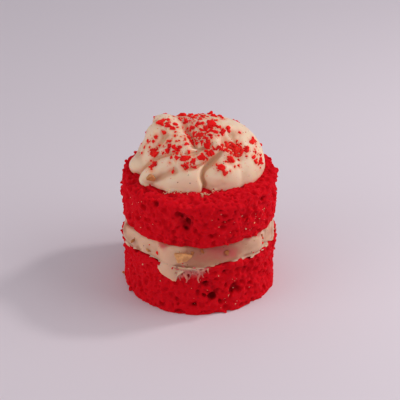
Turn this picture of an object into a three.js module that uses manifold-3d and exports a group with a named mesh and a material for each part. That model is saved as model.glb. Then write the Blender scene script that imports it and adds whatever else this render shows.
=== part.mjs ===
// A small round red velvet cake: two sponge discs with a cream and nut filling between them,
// topped with a piped swirl of cream that is sprinkled with red cake crumbs.
// Millimetres, +Z up. The origin is the centre of the flat round foot. The front faces -Y.
import * as THREE from 'three';
import { mergeVertices } from 'three/addons/utils/BufferGeometryUtils.js';
import { ImprovedNoise } from 'three/addons/math/ImprovedNoise.js';
import Module from 'manifold-3d';

const wasm = await Module();
wasm.setup();

// ---- Driving dimensions ----

const GAP = 0.3;
const TURN = 360;
const TINY = 1e-6;
// Vertices this close together are joined.
const WELD = 1e-4;
// Share by which the creams' facets are finer at the front, where their forms are finest.
const FRONT_FINENESS = 0.38;

// Side profile of each sponge disc: its radius at the foot, the waist and the rim.
const BOTTOM_DISC = {
  low: 0, high: 18.6, foot: 24.8, waist: 24.5, rim: 25.5, footRound: 0.5, rimRound: 0.9,
};
const TOP_DISC = {
  low: 24.9, high: 40.1, foot: 24.7, waist: 25.0, rim: 24.9, footRound: 0.9, rimRound: 1.8,
};
const DISC_SEGMENTS = 68;
const DISC_SIDE_ROWS = 10;
const DISC_FACE_RINGS = [0.5, 0.82];
// Power of the curve by which a side flares from its foot to its rim.
const SIDE_FLARE = 3;
// Share of the rim's rounding by which its middle point lies in from the corner.
const ROUNDING_INSET = 0.35;

// Crumb texture of a cut sponge side, and the open holes that show in it.
const CRUMB_HEIGHT = 0.55;
const CRUMB_SIZE = 3.1;
// The texture fades out over this band in from the side, and sinks the top face near the rim.
const TEXTURE_BAND = { inner: 3.0, outer: 0.6 };
const RIM_SINK = 0.5;
const BOTTOM_HOLES = [
  { angle: 276, height: 11.3, wide: 1.9, tall: 1.2, deep: 1.5 },
  { angle: 284, height: 6.4, wide: 2.0, tall: 2.0, deep: 1.7 },
  { angle: 293, height: 4.9, wide: 1.5, tall: 1.3, deep: 1.2 },
  { angle: 265, height: 3.3, wide: 1.7, tall: 1.2, deep: 1.3 },
  { angle: 298, height: 9.6, wide: 1.5, tall: 1.8, deep: 1.3 },
  { angle: 291, height: 15.6, wide: 1.7, tall: 1.2, deep: 1.2 },
  { angle: 308, height: 14.6, wide: 1.4, tall: 1.4, deep: 1.0 },
];
const TOP_HOLES = [
  { angle: 261, height: 36.0, wide: 2.2, tall: 1.5, deep: 2.1 },
  { angle: 262, height: 32.4, wide: 1.5, tall: 2.0, deep: 1.8 },
  { angle: 271, height: 37.6, wide: 1.7, tall: 1.4, deep: 1.3 },
  { angle: 235, height: 38.0, wide: 1.9, tall: 1.2, deep: 1.0 },
  { angle: 230, height: 31.9, wide: 1.5, tall: 1.5, deep: 1.0 },
  { angle: 286, height: 33.3, wide: 2.2, tall: 1.4, deep: 1.1 },
  { angle: 280, height: 29.3, wide: 1.8, tall: 1.0, deep: 1.1 },
];
// Lumps that stand proud of the rims, as negative holes.
const BOTTOM_KNOBS = [
  { angle: 345, height: 17.0, wide: 2.2, tall: 1.4, deep: -0.6 },
  { angle: 178, height: 17.2, wide: 2.4, tall: 1.2, deep: -0.5 },
];
const TOP_KNOBS = [
  { angle: 4, height: 38.9, wide: 2.0, tall: 1.3, deep: -0.9 },
  { angle: 352, height: 36.2, wide: 1.6, tall: 1.2, deep: 0.8 },
  { angle: 182, height: 39.0, wide: 5.0, tall: 1.6, deep: 0.7 },
];
// Holes on the sides and back, placed by rule, each size between a least and a most.
const BACK_HOLES = {
  count: 12, from: -40, to: 215, margin: 2.5, bottomSeed: 11, topSeed: 12,
  wide: [1.26, 2.34], tall: [1.08, 1.98], deep: [0.84, 1.82],
};

// Cream filling: its band between the discs, and where it swells out, draws back and droops.
const FILLING = { low: 18.95, high: 24.55, reach: 24.3, segments: 76 };
const FILLING_SWELLS = [
  { angle: 199, spread: 15, out: 2.0, droop: 1.1 },
  { angle: 225, spread: 12, out: 1.0, droop: 0.2 },
  { angle: 247, spread: 7, out: 2.7, droop: 4.4 },
  { angle: 259, spread: 6, out: 1.7, droop: 3.2 },
  { angle: 270, spread: 5, out: 1.1, droop: 1.8 },
  { angle: 292, spread: 14, out: -0.9, droop: 0.0 },
  { angle: 318, spread: 8, out: 1.7, droop: 1.5 },
  { angle: 30, spread: 16, out: 1.2, droop: 0.7 },
  { angle: 78, spread: 10, out: 1.8, droop: 1.8 },
  { angle: 112, spread: 12, out: -0.6, droop: 0.0 },
  { angle: 140, spread: 12, out: 1.3, droop: 0.9 },
];
// Cross-section of the filling, from the axis below to the axis above. Inset is counted in from
// the outer edge, share runs up the band from the drooping lip to the top.
const FILLING_SECTION = [
  { inset: 9.0, share: 0, droops: false },
  { inset: 3.2, share: 0, droops: false },
  { inset: 1.6, share: 0, droops: false },
  { inset: 1.1, share: 0.0, droops: true },
  { inset: 0.3, share: 0.06, droops: true },
  { inset: 0.0, share: 0.22, droops: true },
  { inset: 0.0, share: 0.40, droops: true },
  { inset: 0.0, share: 0.58, droops: true },
  { inset: 0.2, share: 0.76, droops: true },
  { inset: 0.6, share: 0.90, droops: true },
  { inset: 1.6, share: 1, droops: false },
  { inset: 9.0, share: 1, droops: false },
];
const CREAM_WAVE = 0.35;
const CREAM_WAVE_SIZE = 6.0;

// Piped swirl: a dome, measured from its centre inside the cream.
const SWIRL_FLOOR = 40.45;
const DOME = {
  centre: new THREE.Vector3(-1.0, 3.6, 39.0),
  left: 19.4, right: 21.6, front: 18.6, back: 16.5, top: 17.0, tilt: -0.02,
  powerX: 2.6, powerY: 2.0, powerZ: 2.1,
};
const SWIRL_SEGMENTS = 86;
const SWIRL_ROWS = 24;
const SWIRL_ROW_POWER = 1.2;
// Share of the swirl's flat underside at which its one inner ring lies.
const SWIRL_FACE_RING = 0.5;
// A crease between two folds of cream runs through points of bearing and rise on the dome. Below
// and above are the widths of its two banks. A negative one is a ridge.
const CREASES = [
  {
    name: 'front fold', deep: 2.4, below: 2.9, above: 2.0, fadeIn: 0.25, fadeOut: 0.15,
    points: [
      [231, 12], [241, 17], [251, 21.5], [261, 26], [270, 30], [279, 33], [289, 37], [300, 39.5], [312, 42],
    ],
  },
  {
    name: 'left fold', deep: 1.8, below: 1.7, above: 1.7, fadeIn: 0.05, fadeOut: 0.35,
    points: [[203, -12], [205, 3], [209, 13], [214, 22], [222, 30], [233, 37], [244, 42], [259, 44]],
  },
  {
    name: 'middle fold', deep: 2.1, below: 2.9, above: 2.0, fadeIn: 0.2, fadeOut: 0.25,
    points: [[249, 33], [258, 39], [267, 44], [277, 48], [290, 50], [305, 51]],
  },
  {
    name: 'top valley', deep: 1.8, below: 2.0, above: 1.8, fadeIn: 0.1, fadeOut: 0.2,
    points: [[261, 45], [258, 52], [252, 59], [229, 70], [176, 79]],
  },
  {
    name: 'left valley', deep: 0.9, below: 1.6, above: 1.6, fadeIn: 0.3, fadeOut: 0.2,
    points: [[214, 31], [213, 38], [212, 46], [207, 57]],
  },
  {
    name: 'curl', deep: 2.3, below: 2.1, above: 1.6, fadeIn: 0.05, fadeOut: 0.1,
    points: [
      [276, -12], [276, 5], [275, 10], [275, 17], [278, 23.5], [283, 27], [290, 30], [298, 33], [308, 36],
    ],
  },
  {
    name: 'ridge beside the curl', deep: -0.8, below: 2.6, above: 1.7, fadeIn: 0.3, fadeOut: 0.4,
    points: [[284, 3], [284, 12], [289, 18], [296, 22.5], [304, 26], [313, 29]],
  },
  {
    name: 'right foot', deep: 1.0, below: 2.6, above: 1.4, fadeIn: 0.05, fadeOut: 0.2,
    points: [[325, -10], [326, 7], [328, 13], [333, 18], [339, 27], [348, 36]],
  },
  {
    name: 'trough', deep: 2.4, below: 2.0, above: 2.0, fadeIn: 0.2, fadeOut: 0.3,
    points: [[345, 56], [338, 49], [331, 41], [324, 35], [316, 30], [307, 26], [299, 22]],
  },
];
// The folds at the back climb alike, from these bearings.
const BACK_CREASES = {
  starts: [12, 50, 86, 120], turn: 70, bend: 1.5, lowest: -12, highest: 58, points: 6,
  deep: 1.8, below: 3.0, above: 2.4, fadeIn: 0.05, fadeOut: 0.2,
};
const CREASE_STEPS = 20;
const CREASE_SHARPNESS = 1.1;
// Lobes that stand out of the dome: two fold ends at the foot and the crest at the left. The
// hollow is where the piping bag lifted off.
const LOBES = [
  { centre: new THREE.Vector3(-18.3, 0.2, 41.2), radii: new THREE.Vector3(4.4, 4.6, 3.4), blend: 1.6 },
  { centre: new THREE.Vector3(-15.6, -8.4, 41.6), radii: new THREE.Vector3(3.9, 3.6, 3.6), blend: 1.4 },
  { centre: new THREE.Vector3(-11.3, 3.6, 51.2), radii: new THREE.Vector3(6.3, 7.0, 6.2), blend: 2.0 },
];
const HOLLOW = {
  centre: new THREE.Vector3(10.0, -6.0, 53.6), radii: new THREE.Vector3(3.4, 3.6, 3.8), blend: 1.1,
};
// Search for the surface along a ray: how far out it starts, its step and how often it halves.
const SEARCH = { start: 30, step: 1, halvings: 10 };

// Red crumbs on the swirl: the largest by bearing, height angle and size, the rest by rule.
const LARGE_CRUMBS = [
  [189, 60, 2.6], [134, 66, 2.1], [184, 79, 1.8], [345, 73, 3.3], [324, 36, 3.0], [292, 52, 2.3],
  [255, 36, 2.4], [270, 29, 2.3], [247, 35, 1.8], [215, 32, 2.1], [314, 28, 2.0], [243, 76, 2.0],
];
const SMALL_CRUMBS = { count: 16, size: [1.2, 1.95], lowest: 30, highest: 84, seed: 41 };
const GOLDEN_ANGLE = 137.508;
const CRUMB_SINK = 0.15;
const LUMP = {
  jitter: 0.22, least: new THREE.Vector3(0.85, 0.85, 0.7), more: new THREE.Vector3(0.3, 0.3, 0.25),
};

// Nut pieces in the filling and one under the lip of the swirl, at an angle and a height.
const FILLING_NUTS = [
  { angle: 257, height: 21.6, radius: 26.2, size: 3.9 },
  { angle: 211, height: 22.4, radius: 25.0, size: 1.8 },
  { angle: 231, height: 22.0, radius: 25.0, size: 1.8 },
  { angle: 292, height: 21.8, radius: 23.4, size: 1.9 },
  { angle: 80, height: 21.6, radius: 25.6, size: 3.2 },
  { angle: 150, height: 22.0, radius: 25.0, size: 2.6 },
];
const FILLING_NUTS_SEED = 7;
const SWIRL_NUT = { position: new THREE.Vector3(-15.0, -10.9, 42.6), size: 2.6 };

const LOOKS = {
  sponge_bottom: { color: 0xa80a18, roughness: 0.95 },
  filling: { color: 0xbb9c84, roughness: 0.6 },
  sponge_top: { color: 0xb80c1a, roughness: 0.95 },
  frosting: { color: 0xd8b096, roughness: 0.5 },
};

// ---- Helpers ----

const noise = new ImprovedNoise();
const random = THREE.MathUtils.seededRandom;
const { degToRad, radToDeg, smoothstep, lerp, clamp } = THREE.MathUtils;

// Smallest signed difference between two angles in degrees.
function angleBetween(a, b) {
  return THREE.MathUtils.euclideanModulo(a - b + TURN / 2, TURN) - TURN / 2;
}

// A random size between a least and a most.
function between([least, most]) {
  return lerp(least, most, random());
}

function bearingOf(point) {
  return radToDeg(Math.atan2(point.y, point.x));
}

// Turns a point about Z so that evenly spaced columns crowd together at the front.
function crowdToFront(point) {
  const radius = Math.hypot(point.x, point.y);
  const bearing = Math.atan2(point.y, point.x);
  const crowded = bearing - FRONT_FINENESS * Math.cos(bearing);
  point.x = radius * Math.cos(crowded);
  point.y = radius * Math.sin(crowded);
}

// Keeps only positions and joins shared vertices, so that the surface is closed.
function closedGeometry(geometry) {
  geometry.deleteAttribute('normal');
  geometry.deleteAttribute('uv');
  return mergeVertices(geometry, WELD);
}

// Turns a profile of (radius, height) points round the Z axis.
function latheZ(profile, segments) {
  const points = profile.map(([radius, height]) => new THREE.Vector2(radius, height));
  const geometry = new THREE.LatheGeometry(points, segments);
  geometry.rotateX(Math.PI / 2);
  return closedGeometry(geometry);
}

// Moves every vertex of a geometry by a function that changes the point it is given.
function reshape(geometry, move) {
  const positions = geometry.getAttribute('position');
  const point = new THREE.Vector3();
  for (let i = 0; i < positions.count; i += 1) {
    point.fromBufferAttribute(positions, i);
    move(point);
    positions.setXYZ(i, point.x, point.y, point.z);
  }
  return geometry;
}

function solidOf(geometry) {
  return new wasm.Manifold(new wasm.Mesh({
    numProp: 3,
    vertProperties: new Float32Array(geometry.getAttribute('position').array),
    triVerts: new Uint32Array(geometry.index.array),
  }));
}

function geometryOf(solid) {
  const mesh = solid.getMesh();
  const geometry = new THREE.BufferGeometry();
  geometry.setAttribute('position', new THREE.BufferAttribute(mesh.vertProperties, 3));
  geometry.setIndex(new THREE.BufferAttribute(mesh.triVerts, 1));
  geometry.computeVertexNormals();
  return geometry;
}

function namedMesh(name, geometry) {
  const material = new THREE.MeshStandardMaterial({ ...LOOKS[name], metalness: 0 });
  const mesh = new THREE.Mesh(geometry, material);
  mesh.name = name;
  return mesh;
}

// An uneven lump with few faces: a crumb or a piece of nut.
function lump(size, position) {
  const geometry = closedGeometry(new THREE.IcosahedronGeometry(size / 2, 0));
  const stretch = new THREE.Vector3(random(), random(), random()).multiply(LUMP.more).add(LUMP.least);
  reshape(geometry, (point) => {
    point.multiplyScalar(1 + LUMP.jitter * (2 * random() - 1));
    point.multiply(stretch);
  });
  geometry.rotateZ(Math.PI * random());
  geometry.translate(position.x, position.y, position.z);
  return solidOf(geometry);
}

// ---- Sponge discs ----

function discProfile(disc) {
  const sideLow = disc.low + disc.footRound;
  const sideHigh = disc.high - disc.rimRound;
  const profile = [[0, disc.low]];
  DISC_FACE_RINGS.forEach((share) => profile.push([disc.foot * share, disc.low]));
  profile.push([disc.foot - disc.footRound, disc.low]);
  for (let row = 0; row <= DISC_SIDE_ROWS; row += 1) {
    const share = row / DISC_SIDE_ROWS;
    const straight = lerp(disc.foot, disc.rim, share ** SIDE_FLARE);
    const hollow = (disc.waist - disc.foot) * Math.sin(Math.PI * share);
    profile.push([straight + hollow, lerp(sideLow, sideHigh, share)]);
  }
  const inset = ROUNDING_INSET * disc.rimRound;
  profile.push([disc.rim - inset, disc.high - inset]);
  profile.push([disc.rim - disc.rimRound, disc.high]);
  [...DISC_FACE_RINGS].reverse().forEach((share) => profile.push([disc.rim * share, disc.high]));
  profile.push([0, disc.high]);
  return profile;
}

function backHoles(disc, seed) {
  random(seed);
  return Array.from({ length: BACK_HOLES.count }, (_, index) => ({
    angle: lerp(BACK_HOLES.from, BACK_HOLES.to, (index + random()) / BACK_HOLES.count),
    height: lerp(disc.low + BACK_HOLES.margin, disc.high - BACK_HOLES.margin, random()),
    wide: between(BACK_HOLES.wide),
    tall: between(BACK_HOLES.tall),
    deep: between(BACK_HOLES.deep),
  }));
}

// How far the holes draw the side in at one bearing and height.
function holeDepth(holes, bearing, height, radius) {
  return holes.reduce((sum, hole) => {
    const across = degToRad(angleBetween(bearing, hole.angle)) * radius / hole.wide;
    const up = (height - hole.height) / hole.tall;
    return sum + hole.deep * Math.exp(-across * across - up * up);
  }, 0);
}

// Skin is an allowance that thickens the disc all round, for cutting its neighbours back.
function spongeDisc(disc, holes, skin = 0) {
  return reshape(latheZ(discProfile(disc), DISC_SEGMENTS), (point) => {
    const radius = Math.hypot(point.x, point.y);
    const edge = smoothstep(radius, disc.waist - TEXTURE_BAND.inner, disc.waist - TEXTURE_BAND.outer);
    const crumb = noise.noise(point.x / CRUMB_SIZE, point.y / CRUMB_SIZE, point.z / CRUMB_SIZE);
    const dip = holeDepth(holes, bearingOf(point), point.z, disc.waist);
    const out = edge * (CRUMB_HEIGHT * crumb - dip) + (radius > TINY ? skin : 0);
    const share = (radius + out) / Math.max(radius, TINY);
    point.x *= share;
    point.y *= share;
    if (point.z > disc.high - WELD) point.z += RIM_SINK * edge * Math.min(crumb, 0);
    const middle = (disc.low + disc.high) / 2;
    point.z += skin * Math.sign(point.z - middle);
  });
}

// ---- Cream filling ----

function swellAt(bearing) {
  return FILLING_SWELLS.reduce((sum, swell) => {
    const weight = Math.exp(-((angleBetween(bearing, swell.angle) / swell.spread) ** 2));
    return { out: sum.out + weight * swell.out, droop: sum.droop + weight * swell.droop };
  }, { out: 0, droop: 0 });
}

// The section is turned at a plain radius of 1 per row, then each row takes its real place.
function fillingGeometry() {
  const band = FILLING.high - FILLING.low;
  const rows = FILLING_SECTION.map((row, index) => [1, index]);
  const profile = [[0, 0], ...rows, [0, FILLING_SECTION.length - 1]];
  return reshape(latheZ(profile, FILLING.segments), (point) => {
    const row = FILLING_SECTION[Math.round(point.z)];
    const onAxis = Math.hypot(point.x, point.y) < TINY;
    crowdToFront(point);
    const bearing = bearingOf(point);
    const swell = swellAt(bearing);
    const wave = noise.noise(point.x * FILLING.reach / CREAM_WAVE_SIZE,
      point.y * FILLING.reach / CREAM_WAVE_SIZE, row.share * band / CREAM_WAVE_SIZE);
    const lip = row.droops ? swell.droop * (1 - row.share) : 0;
    const reach = FILLING.reach + swell.out + CREAM_WAVE * wave - row.inset;
    point.x *= onAxis ? 0 : reach;
    point.y *= onAxis ? 0 : reach;
    point.z = FILLING.low + band * row.share - lip;
  });
}

function onSide(angle, height, radius) {
  const bearing = degToRad(angle);
  return new THREE.Vector3(radius * Math.cos(bearing), radius * Math.sin(bearing), height);
}

function filling(bottomSkin, topSkin) {
  random(FILLING_NUTS_SEED);
  const nuts = FILLING_NUTS.map((nut) => lump(nut.size, onSide(nut.angle, nut.height, nut.radius)));
  const cream = nuts.reduce((solid, nut) => solid.add(nut), solidOf(fillingGeometry()));
  return largestBody(cream.subtract(bottomSkin).subtract(topSkin));
}

// The largest of the separate bodies that a cut leaves.
function largestBody(solid) {
  const bodies = solid.decompose();
  return bodies.reduce((best, body) => (body.volume() > best.volume() ? body : best));
}

// ---- Piped swirl ----

// One along the dome's surface for an offset from its centre, less inside and more outside.
function domeShare(offset) {
  const length = offset.length();
  const unit = offset.clone().multiplyScalar(DOME.front / length);
  const width = unit.x < 0 ? DOME.left : DOME.right;
  const depth = unit.y < 0 ? DOME.front : DOME.back;
  const top = DOME.top - DOME.tilt * unit.x;
  const sum = Math.abs(unit.x / width) ** DOME.powerX + Math.abs(unit.y / depth) ** DOME.powerY
    + Math.abs(unit.z / top) ** DOME.powerZ;
  return sum ** (1 / DOME.powerZ) * length / DOME.front;
}

function directionAt(bearing, rise) {
  const flat = Math.cos(degToRad(rise));
  return new THREE.Vector3(flat * Math.cos(degToRad(bearing)), flat * Math.sin(degToRad(bearing)),
    Math.sin(degToRad(rise)));
}

function onDome(bearing, rise) {
  const offset = directionAt(bearing, rise).multiplyScalar(DOME.front);
  return offset.divideScalar(domeShare(offset)).add(DOME.centre);
}

function backCreasePoints(start) {
  return Array.from({ length: BACK_CREASES.points }, (_, index) => {
    const share = index / (BACK_CREASES.points - 1);
    const rise = lerp(BACK_CREASES.lowest, BACK_CREASES.highest, share);
    return [start + BACK_CREASES.turn * share ** BACK_CREASES.bend, rise];
  });
}

function creaseLine(points) {
  const curve = new THREE.SplineCurve(points.map(([bearing, rise]) => new THREE.Vector2(bearing, rise)));
  return curve.getPoints(CREASE_STEPS).map((place) => onDome(place.x, place.y));
}

const CREASE_LINES = [
  ...CREASES.map((crease) => ({ ...crease, line: creaseLine(crease.points) })),
  ...BACK_CREASES.starts.map((start) => ({ ...BACK_CREASES, line: creaseLine(backCreasePoints(start)) })),
];

// How deep one crease cuts at a point: deepest on its line, with one steep and one gentle bank.
function creaseDepth(crease, point) {
  const outward = point.clone().sub(DOME.centre).normalize();
  let nearest = Infinity;
  let width = crease.above;
  let along = 0;
  for (let step = 0; step < CREASE_STEPS; step += 1) {
    const start = crease.line[step];
    const run = crease.line[step + 1].clone().sub(start);
    const offset = point.clone().sub(start);
    const share = clamp(offset.dot(run) / run.lengthSq(), 0, 1);
    offset.addScaledVector(run, -share);
    offset.addScaledVector(outward, -offset.dot(outward));
    const distance = offset.length();
    if (distance < nearest) {
      nearest = distance;
      along = (step + share) / CREASE_STEPS;
      width = offset.dot(outward.clone().cross(run)) > 0 ? crease.above : crease.below;
    }
  }
  const fade = smoothstep(along, 0, crease.fadeIn) * smoothstep(1 - along, 0, crease.fadeOut);
  return crease.deep * fade * Math.exp(-((nearest / width) ** CREASE_SHARPNESS));
}

// Signed distance to an ellipsoid, near enough for blending.
function lobeDistance(lobe, point) {
  const offset = point.clone().sub(lobe.centre).divide(lobe.radii);
  return (offset.length() - 1) * Math.min(lobe.radii.x, lobe.radii.y, lobe.radii.z);
}

function blendJoin(a, b, blend) {
  const share = clamp(0.5 + 0.5 * (b - a) / blend, 0, 1);
  return lerp(b, a, share) - blend * share * (1 - share);
}

// Signed distance to the swirl's surface: negative inside the cream.
function swirlDistance(point) {
  const offset = point.clone().sub(DOME.centre);
  let distance = offset.length() * (1 - 1 / domeShare(offset));
  LOBES.forEach((lobe) => {
    distance = blendJoin(distance, lobeDistance(lobe, point), lobe.blend);
  });
  CREASE_LINES.forEach((crease) => {
    distance += creaseDepth(crease, point);
  });
  return -blendJoin(-distance, lobeDistance(HOLLOW, point), HOLLOW.blend);
}

// Walks in along a ray from outside until it meets the cream, then halves the step.
function swirlRadius(origin, direction) {
  const point = new THREE.Vector3();
  const distanceAt = (radius) => swirlDistance(point.copy(direction).multiplyScalar(radius).add(origin));
  let outside = SEARCH.start;
  while (outside > SEARCH.step && distanceAt(outside - SEARCH.step) > 0) outside -= SEARCH.step;
  let inside = outside - SEARCH.step;
  for (let halving = 0; halving < SEARCH.halvings; halving += 1) {
    const middle = (inside + outside) / 2;
    if (distanceAt(middle) > 0) outside = middle;
    else inside = middle;
  }
  return outside;
}

const SWIRL_ORIGIN = new THREE.Vector3(DOME.centre.x, DOME.centre.y, SWIRL_FLOOR);

function swirlGeometry() {
  const arc = Array.from({ length: SWIRL_ROWS + 1 }, (_, row) => {
    const rise = Math.PI / 2 * (row / SWIRL_ROWS) ** SWIRL_ROW_POWER;
    return [row === SWIRL_ROWS ? 0 : Math.cos(rise), Math.sin(rise)];
  });
  const profile = [[0, 0], [SWIRL_FACE_RING, 0], ...arc];
  return reshape(latheZ(profile, SWIRL_SEGMENTS), (point) => {
    const share = point.length();
    crowdToFront(point);
    if (share > TINY) point.multiplyScalar(swirlRadius(SWIRL_ORIGIN, point.clone().normalize()));
    point.add(SWIRL_ORIGIN);
  });
}

function crumbSpots() {
  random(SMALL_CRUMBS.seed);
  const small = Array.from({ length: SMALL_CRUMBS.count }, (_, index) => {
    const share = (index + 0.5) / SMALL_CRUMBS.count;
    const rise = lerp(SMALL_CRUMBS.lowest, SMALL_CRUMBS.highest, share);
    return [index * GOLDEN_ANGLE, rise, between(SMALL_CRUMBS.size)];
  });
  return [...LARGE_CRUMBS, ...small];
}

function swirl() {
  const spots = crumbSpots();
  const crumbs = spots.map(([bearing, rise, size]) => {
    const direction = onDome(bearing, rise).sub(SWIRL_ORIGIN).normalize();
    const radius = swirlRadius(SWIRL_ORIGIN, direction) + CRUMB_SINK * size;
    return lump(size, direction.multiplyScalar(radius).add(SWIRL_ORIGIN));
  });
  const nut = lump(SWIRL_NUT.size, SWIRL_NUT.position);
  return [nut, ...crumbs].reduce((solid, piece) => solid.add(piece), solidOf(swirlGeometry()));
}

// ---- The cake ----

const bottomHoles = [...BOTTOM_HOLES, ...BOTTOM_KNOBS, ...backHoles(BOTTOM_DISC, BACK_HOLES.bottomSeed)];
const topHoles = [...TOP_HOLES, ...TOP_KNOBS, ...backHoles(TOP_DISC, BACK_HOLES.topSeed)];
const bottomSkin = solidOf(spongeDisc(BOTTOM_DISC, bottomHoles, GAP));
const topSkin = solidOf(spongeDisc(TOP_DISC, topHoles, GAP));

const cake = new THREE.Group();
cake.name = 'cake';
cake.add(namedMesh('sponge_bottom', spongeDisc(BOTTOM_DISC, bottomHoles)));
cake.add(namedMesh('filling', geometryOf(filling(bottomSkin, topSkin))));
cake.add(namedMesh('sponge_top', spongeDisc(TOP_DISC, topHoles)));
cake.add(namedMesh('frosting', geometryOf(swirl())));

export default cake;
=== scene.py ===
"""A small round red velvet cake: two open red sponge discs, a cream and nut filling between them,
and a piped cream swirl sprinkled with red cake crumbs.

The forms are worked out in millimetres as signed distances, negative inside, on blocks of evenly
spaced points. Their surfaces become meshes in metres. The axis of the discs is the frame's Z axis.
"""
import math
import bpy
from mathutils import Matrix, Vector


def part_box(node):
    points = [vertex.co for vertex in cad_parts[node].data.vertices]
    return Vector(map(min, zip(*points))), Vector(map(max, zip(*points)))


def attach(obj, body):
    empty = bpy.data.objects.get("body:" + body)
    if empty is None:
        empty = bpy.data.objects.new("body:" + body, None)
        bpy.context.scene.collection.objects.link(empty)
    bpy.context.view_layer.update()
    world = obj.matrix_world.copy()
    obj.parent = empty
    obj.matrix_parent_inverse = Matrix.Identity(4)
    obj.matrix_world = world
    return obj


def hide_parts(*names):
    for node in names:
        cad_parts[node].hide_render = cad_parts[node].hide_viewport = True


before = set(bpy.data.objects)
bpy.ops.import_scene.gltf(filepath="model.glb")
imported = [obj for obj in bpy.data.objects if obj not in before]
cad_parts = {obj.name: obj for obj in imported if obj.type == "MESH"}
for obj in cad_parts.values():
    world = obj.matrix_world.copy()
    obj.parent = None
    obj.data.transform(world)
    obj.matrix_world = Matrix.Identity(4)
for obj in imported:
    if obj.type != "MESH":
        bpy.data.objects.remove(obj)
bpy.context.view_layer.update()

from types import SimpleNamespace

import bmesh
import bpy
import numpy as np
import openvdb
from bpy.props import FloatProperty, FloatVectorProperty, IntProperty, PointerProperty
from mathutils import Vector
from mathutils.bvhtree import BVHTree
from mathutils.kdtree import KDTree

bl_info = {
    "name": "Red Velvet Cake",
    "version": (1, 0, 0),
    "blender": (4, 5, 0),
    "location": "3D View > Sidebar > Cake",
    "description": "Builds a small red velvet layer cake with a cream swirl and red crumbs",
    "category": "Add Mesh",
}

MM = 0.001
TURN = 360.0
# Brings noise blended from a lattice back to about -1 to 1.
NOISE_GAIN = 2.2
# How many cells deep a field is kept on each side of its surface.
BAND_CELLS = 3.0
# Keep divisions clear of zero, and places just inside the last cell of a block or chart.
TINY = 1e-6
LEAST_SHARE = 1e-3
LAST_CELL = 1.001
SEEDS = SimpleNamespace(
    bottom_holes=11, top_holes=12, bottom=101, top=201, filling=31, smear=61, swirl=51,
    streaks=71, blotch=81, crumbs=301, nuts=401, bits=501,
)


def node_heights(node):
    """Lowest and highest point of a CAD node, in millimetres."""
    low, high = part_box(node)
    return low.z / MM, high.z / MM


# ---- Sponge discs ----

BOTTOM_LOW, BOTTOM_HIGH = node_heights("sponge_bottom")
TOP_LOW, TOP_HIGH = node_heights("sponge_top")
# Side profile of each disc: its radius at the foot, the waist and the rim, how round its two
# edges are, and the radius from which its upper face is bare.
BOTTOM_DISC = SimpleNamespace(
    low=BOTTOM_LOW, high=BOTTOM_HIGH, foot=24.8, waist=24.5, rim=25.5,
    foot_round=0.5, rim_round=0.9, bare_from=22.0,
)
TOP_DISC = SimpleNamespace(
    low=TOP_LOW, high=TOP_HIGH, foot=24.7, waist=25.0, rim=24.9,
    foot_round=0.9, rim_round=1.8, bare_from=12.5,
)
# Room for lumps round a disc and below it.
DISC_MARGIN = 1.6
FOOT_MARGIN = 1.0

# Open holes in the cut sides: bearing, height, half width, half height and depth. The sponge's
# material paints shade into them by their depth. The lower disc's first hole is wide and shallow
# and darkens its lower front, partly as painted shade and partly as darker crumb.
BOTTOM_HOLES = [
    (273, 9.0, 5.5, 4.5, 0.9), (275, 11.5, 2.0, 1.2, 1.5), (282, 6.7, 2.2, 1.5, 1.5),
    (290, 4.2, 1.9, 1.3, 1.5), (264.5, 3.3, 1.8, 1.2, 1.7), (298, 8.6, 1.6, 2.3, 2.2),
    (291, 15.5, 1.8, 1.2, 1.6), (307, 14.8, 1.5, 1.4, 1.3), (310, 4.6, 1.6, 1.2, 1.0),
    (255.6, 5.0, 1.8, 1.2, 1.0),
]
TOP_HOLES = [
    (259.5, 34.6, 2.6, 2.9, 2.2), (256, 36.4, 1.8, 1.1, 0.7), (261.5, 31.8, 1.5, 1.6, 0.8),
    (271, 38.0, 1.8, 1.5, 1.1), (234, 38.3, 2.2, 1.4, 1.0), (230, 31.6, 1.6, 1.5, 0.7),
    (288, 33.1, 2.3, 1.4, 1.1), (278, 29.3, 1.9, 1.0, 1.0), (304, 34.4, 1.5, 1.6, 0.8),
]
# Lumps that stand proud of the rims, as negative holes.
BOTTOM_KNOBS = [(345, 17.0, 2.2, 1.4, -0.6), (178, 17.2, 2.4, 1.2, -0.5)]
TOP_KNOBS = [(4, 38.9, 2.0, 1.3, -0.9), (352, 36.2, 1.6, 1.2, 0.8), (182, 39.0, 5.0, 1.6, 0.7)]
# Holes on the sides and back, placed by rule: their bearings, size and how much it varies.
BACK_HOLES = SimpleNamespace(
    count=12, start=-40, end=215, margin=2.5, size=1.8, deep=1.4, wide_range=(0.7, 1.3),
    tall_range=(0.6, 1.1), deep_range=(0.6, 1.3),
)

# Crumb texture in three sizes: lump size and height.
CRUMB_LAYERS = [(3.6, 0.32), (1.7, 0.22), (0.8, 0.10)]
# Where that texture fades in on the upper face, before and after the bare ring starts.
ROUGH_FADE = SimpleNamespace(before=1.5, after=1.0)
# Grains and pores are uneven balls: their sizes, how much rarer the large ones are, the width of
# their blend, and how deep they sit as a share of their size.
GRAINS = SimpleNamespace(low=0.22, high=0.55, rarity=1.6, blend=0.24, sink=0.75, outward=True)
PORES = SimpleNamespace(low=0.3, high=1.1, rarity=2.8, blend=0.35, sink=-0.25, outward=False)
SINK_SPREAD = (-0.6, 1.8)
BALL_STRETCH = (0.55, 1.5)
# How far grains and pores keep from a disc's foot, top and rim, and how far the rim falls.
SPOT_MARGIN = SimpleNamespace(foot=0.4, top=0.2, rim=0.3, fall=0.6)
CRUMB_SOFTENING = 0.7
# How wide and how deep the material looks for cavities, and how strongly it paints shade into
# them. The last number sets how strongly the sponge is darkened, as painted shade, by how deep a
# point lies below the plain disc.
CRUMB_CAVITY_SHADE = SimpleNamespace(wide=0.45, deep=1.2, strength=1.1)
HOLE_SHADE_STRENGTH = 0.4

# ---- Filling ----

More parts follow.
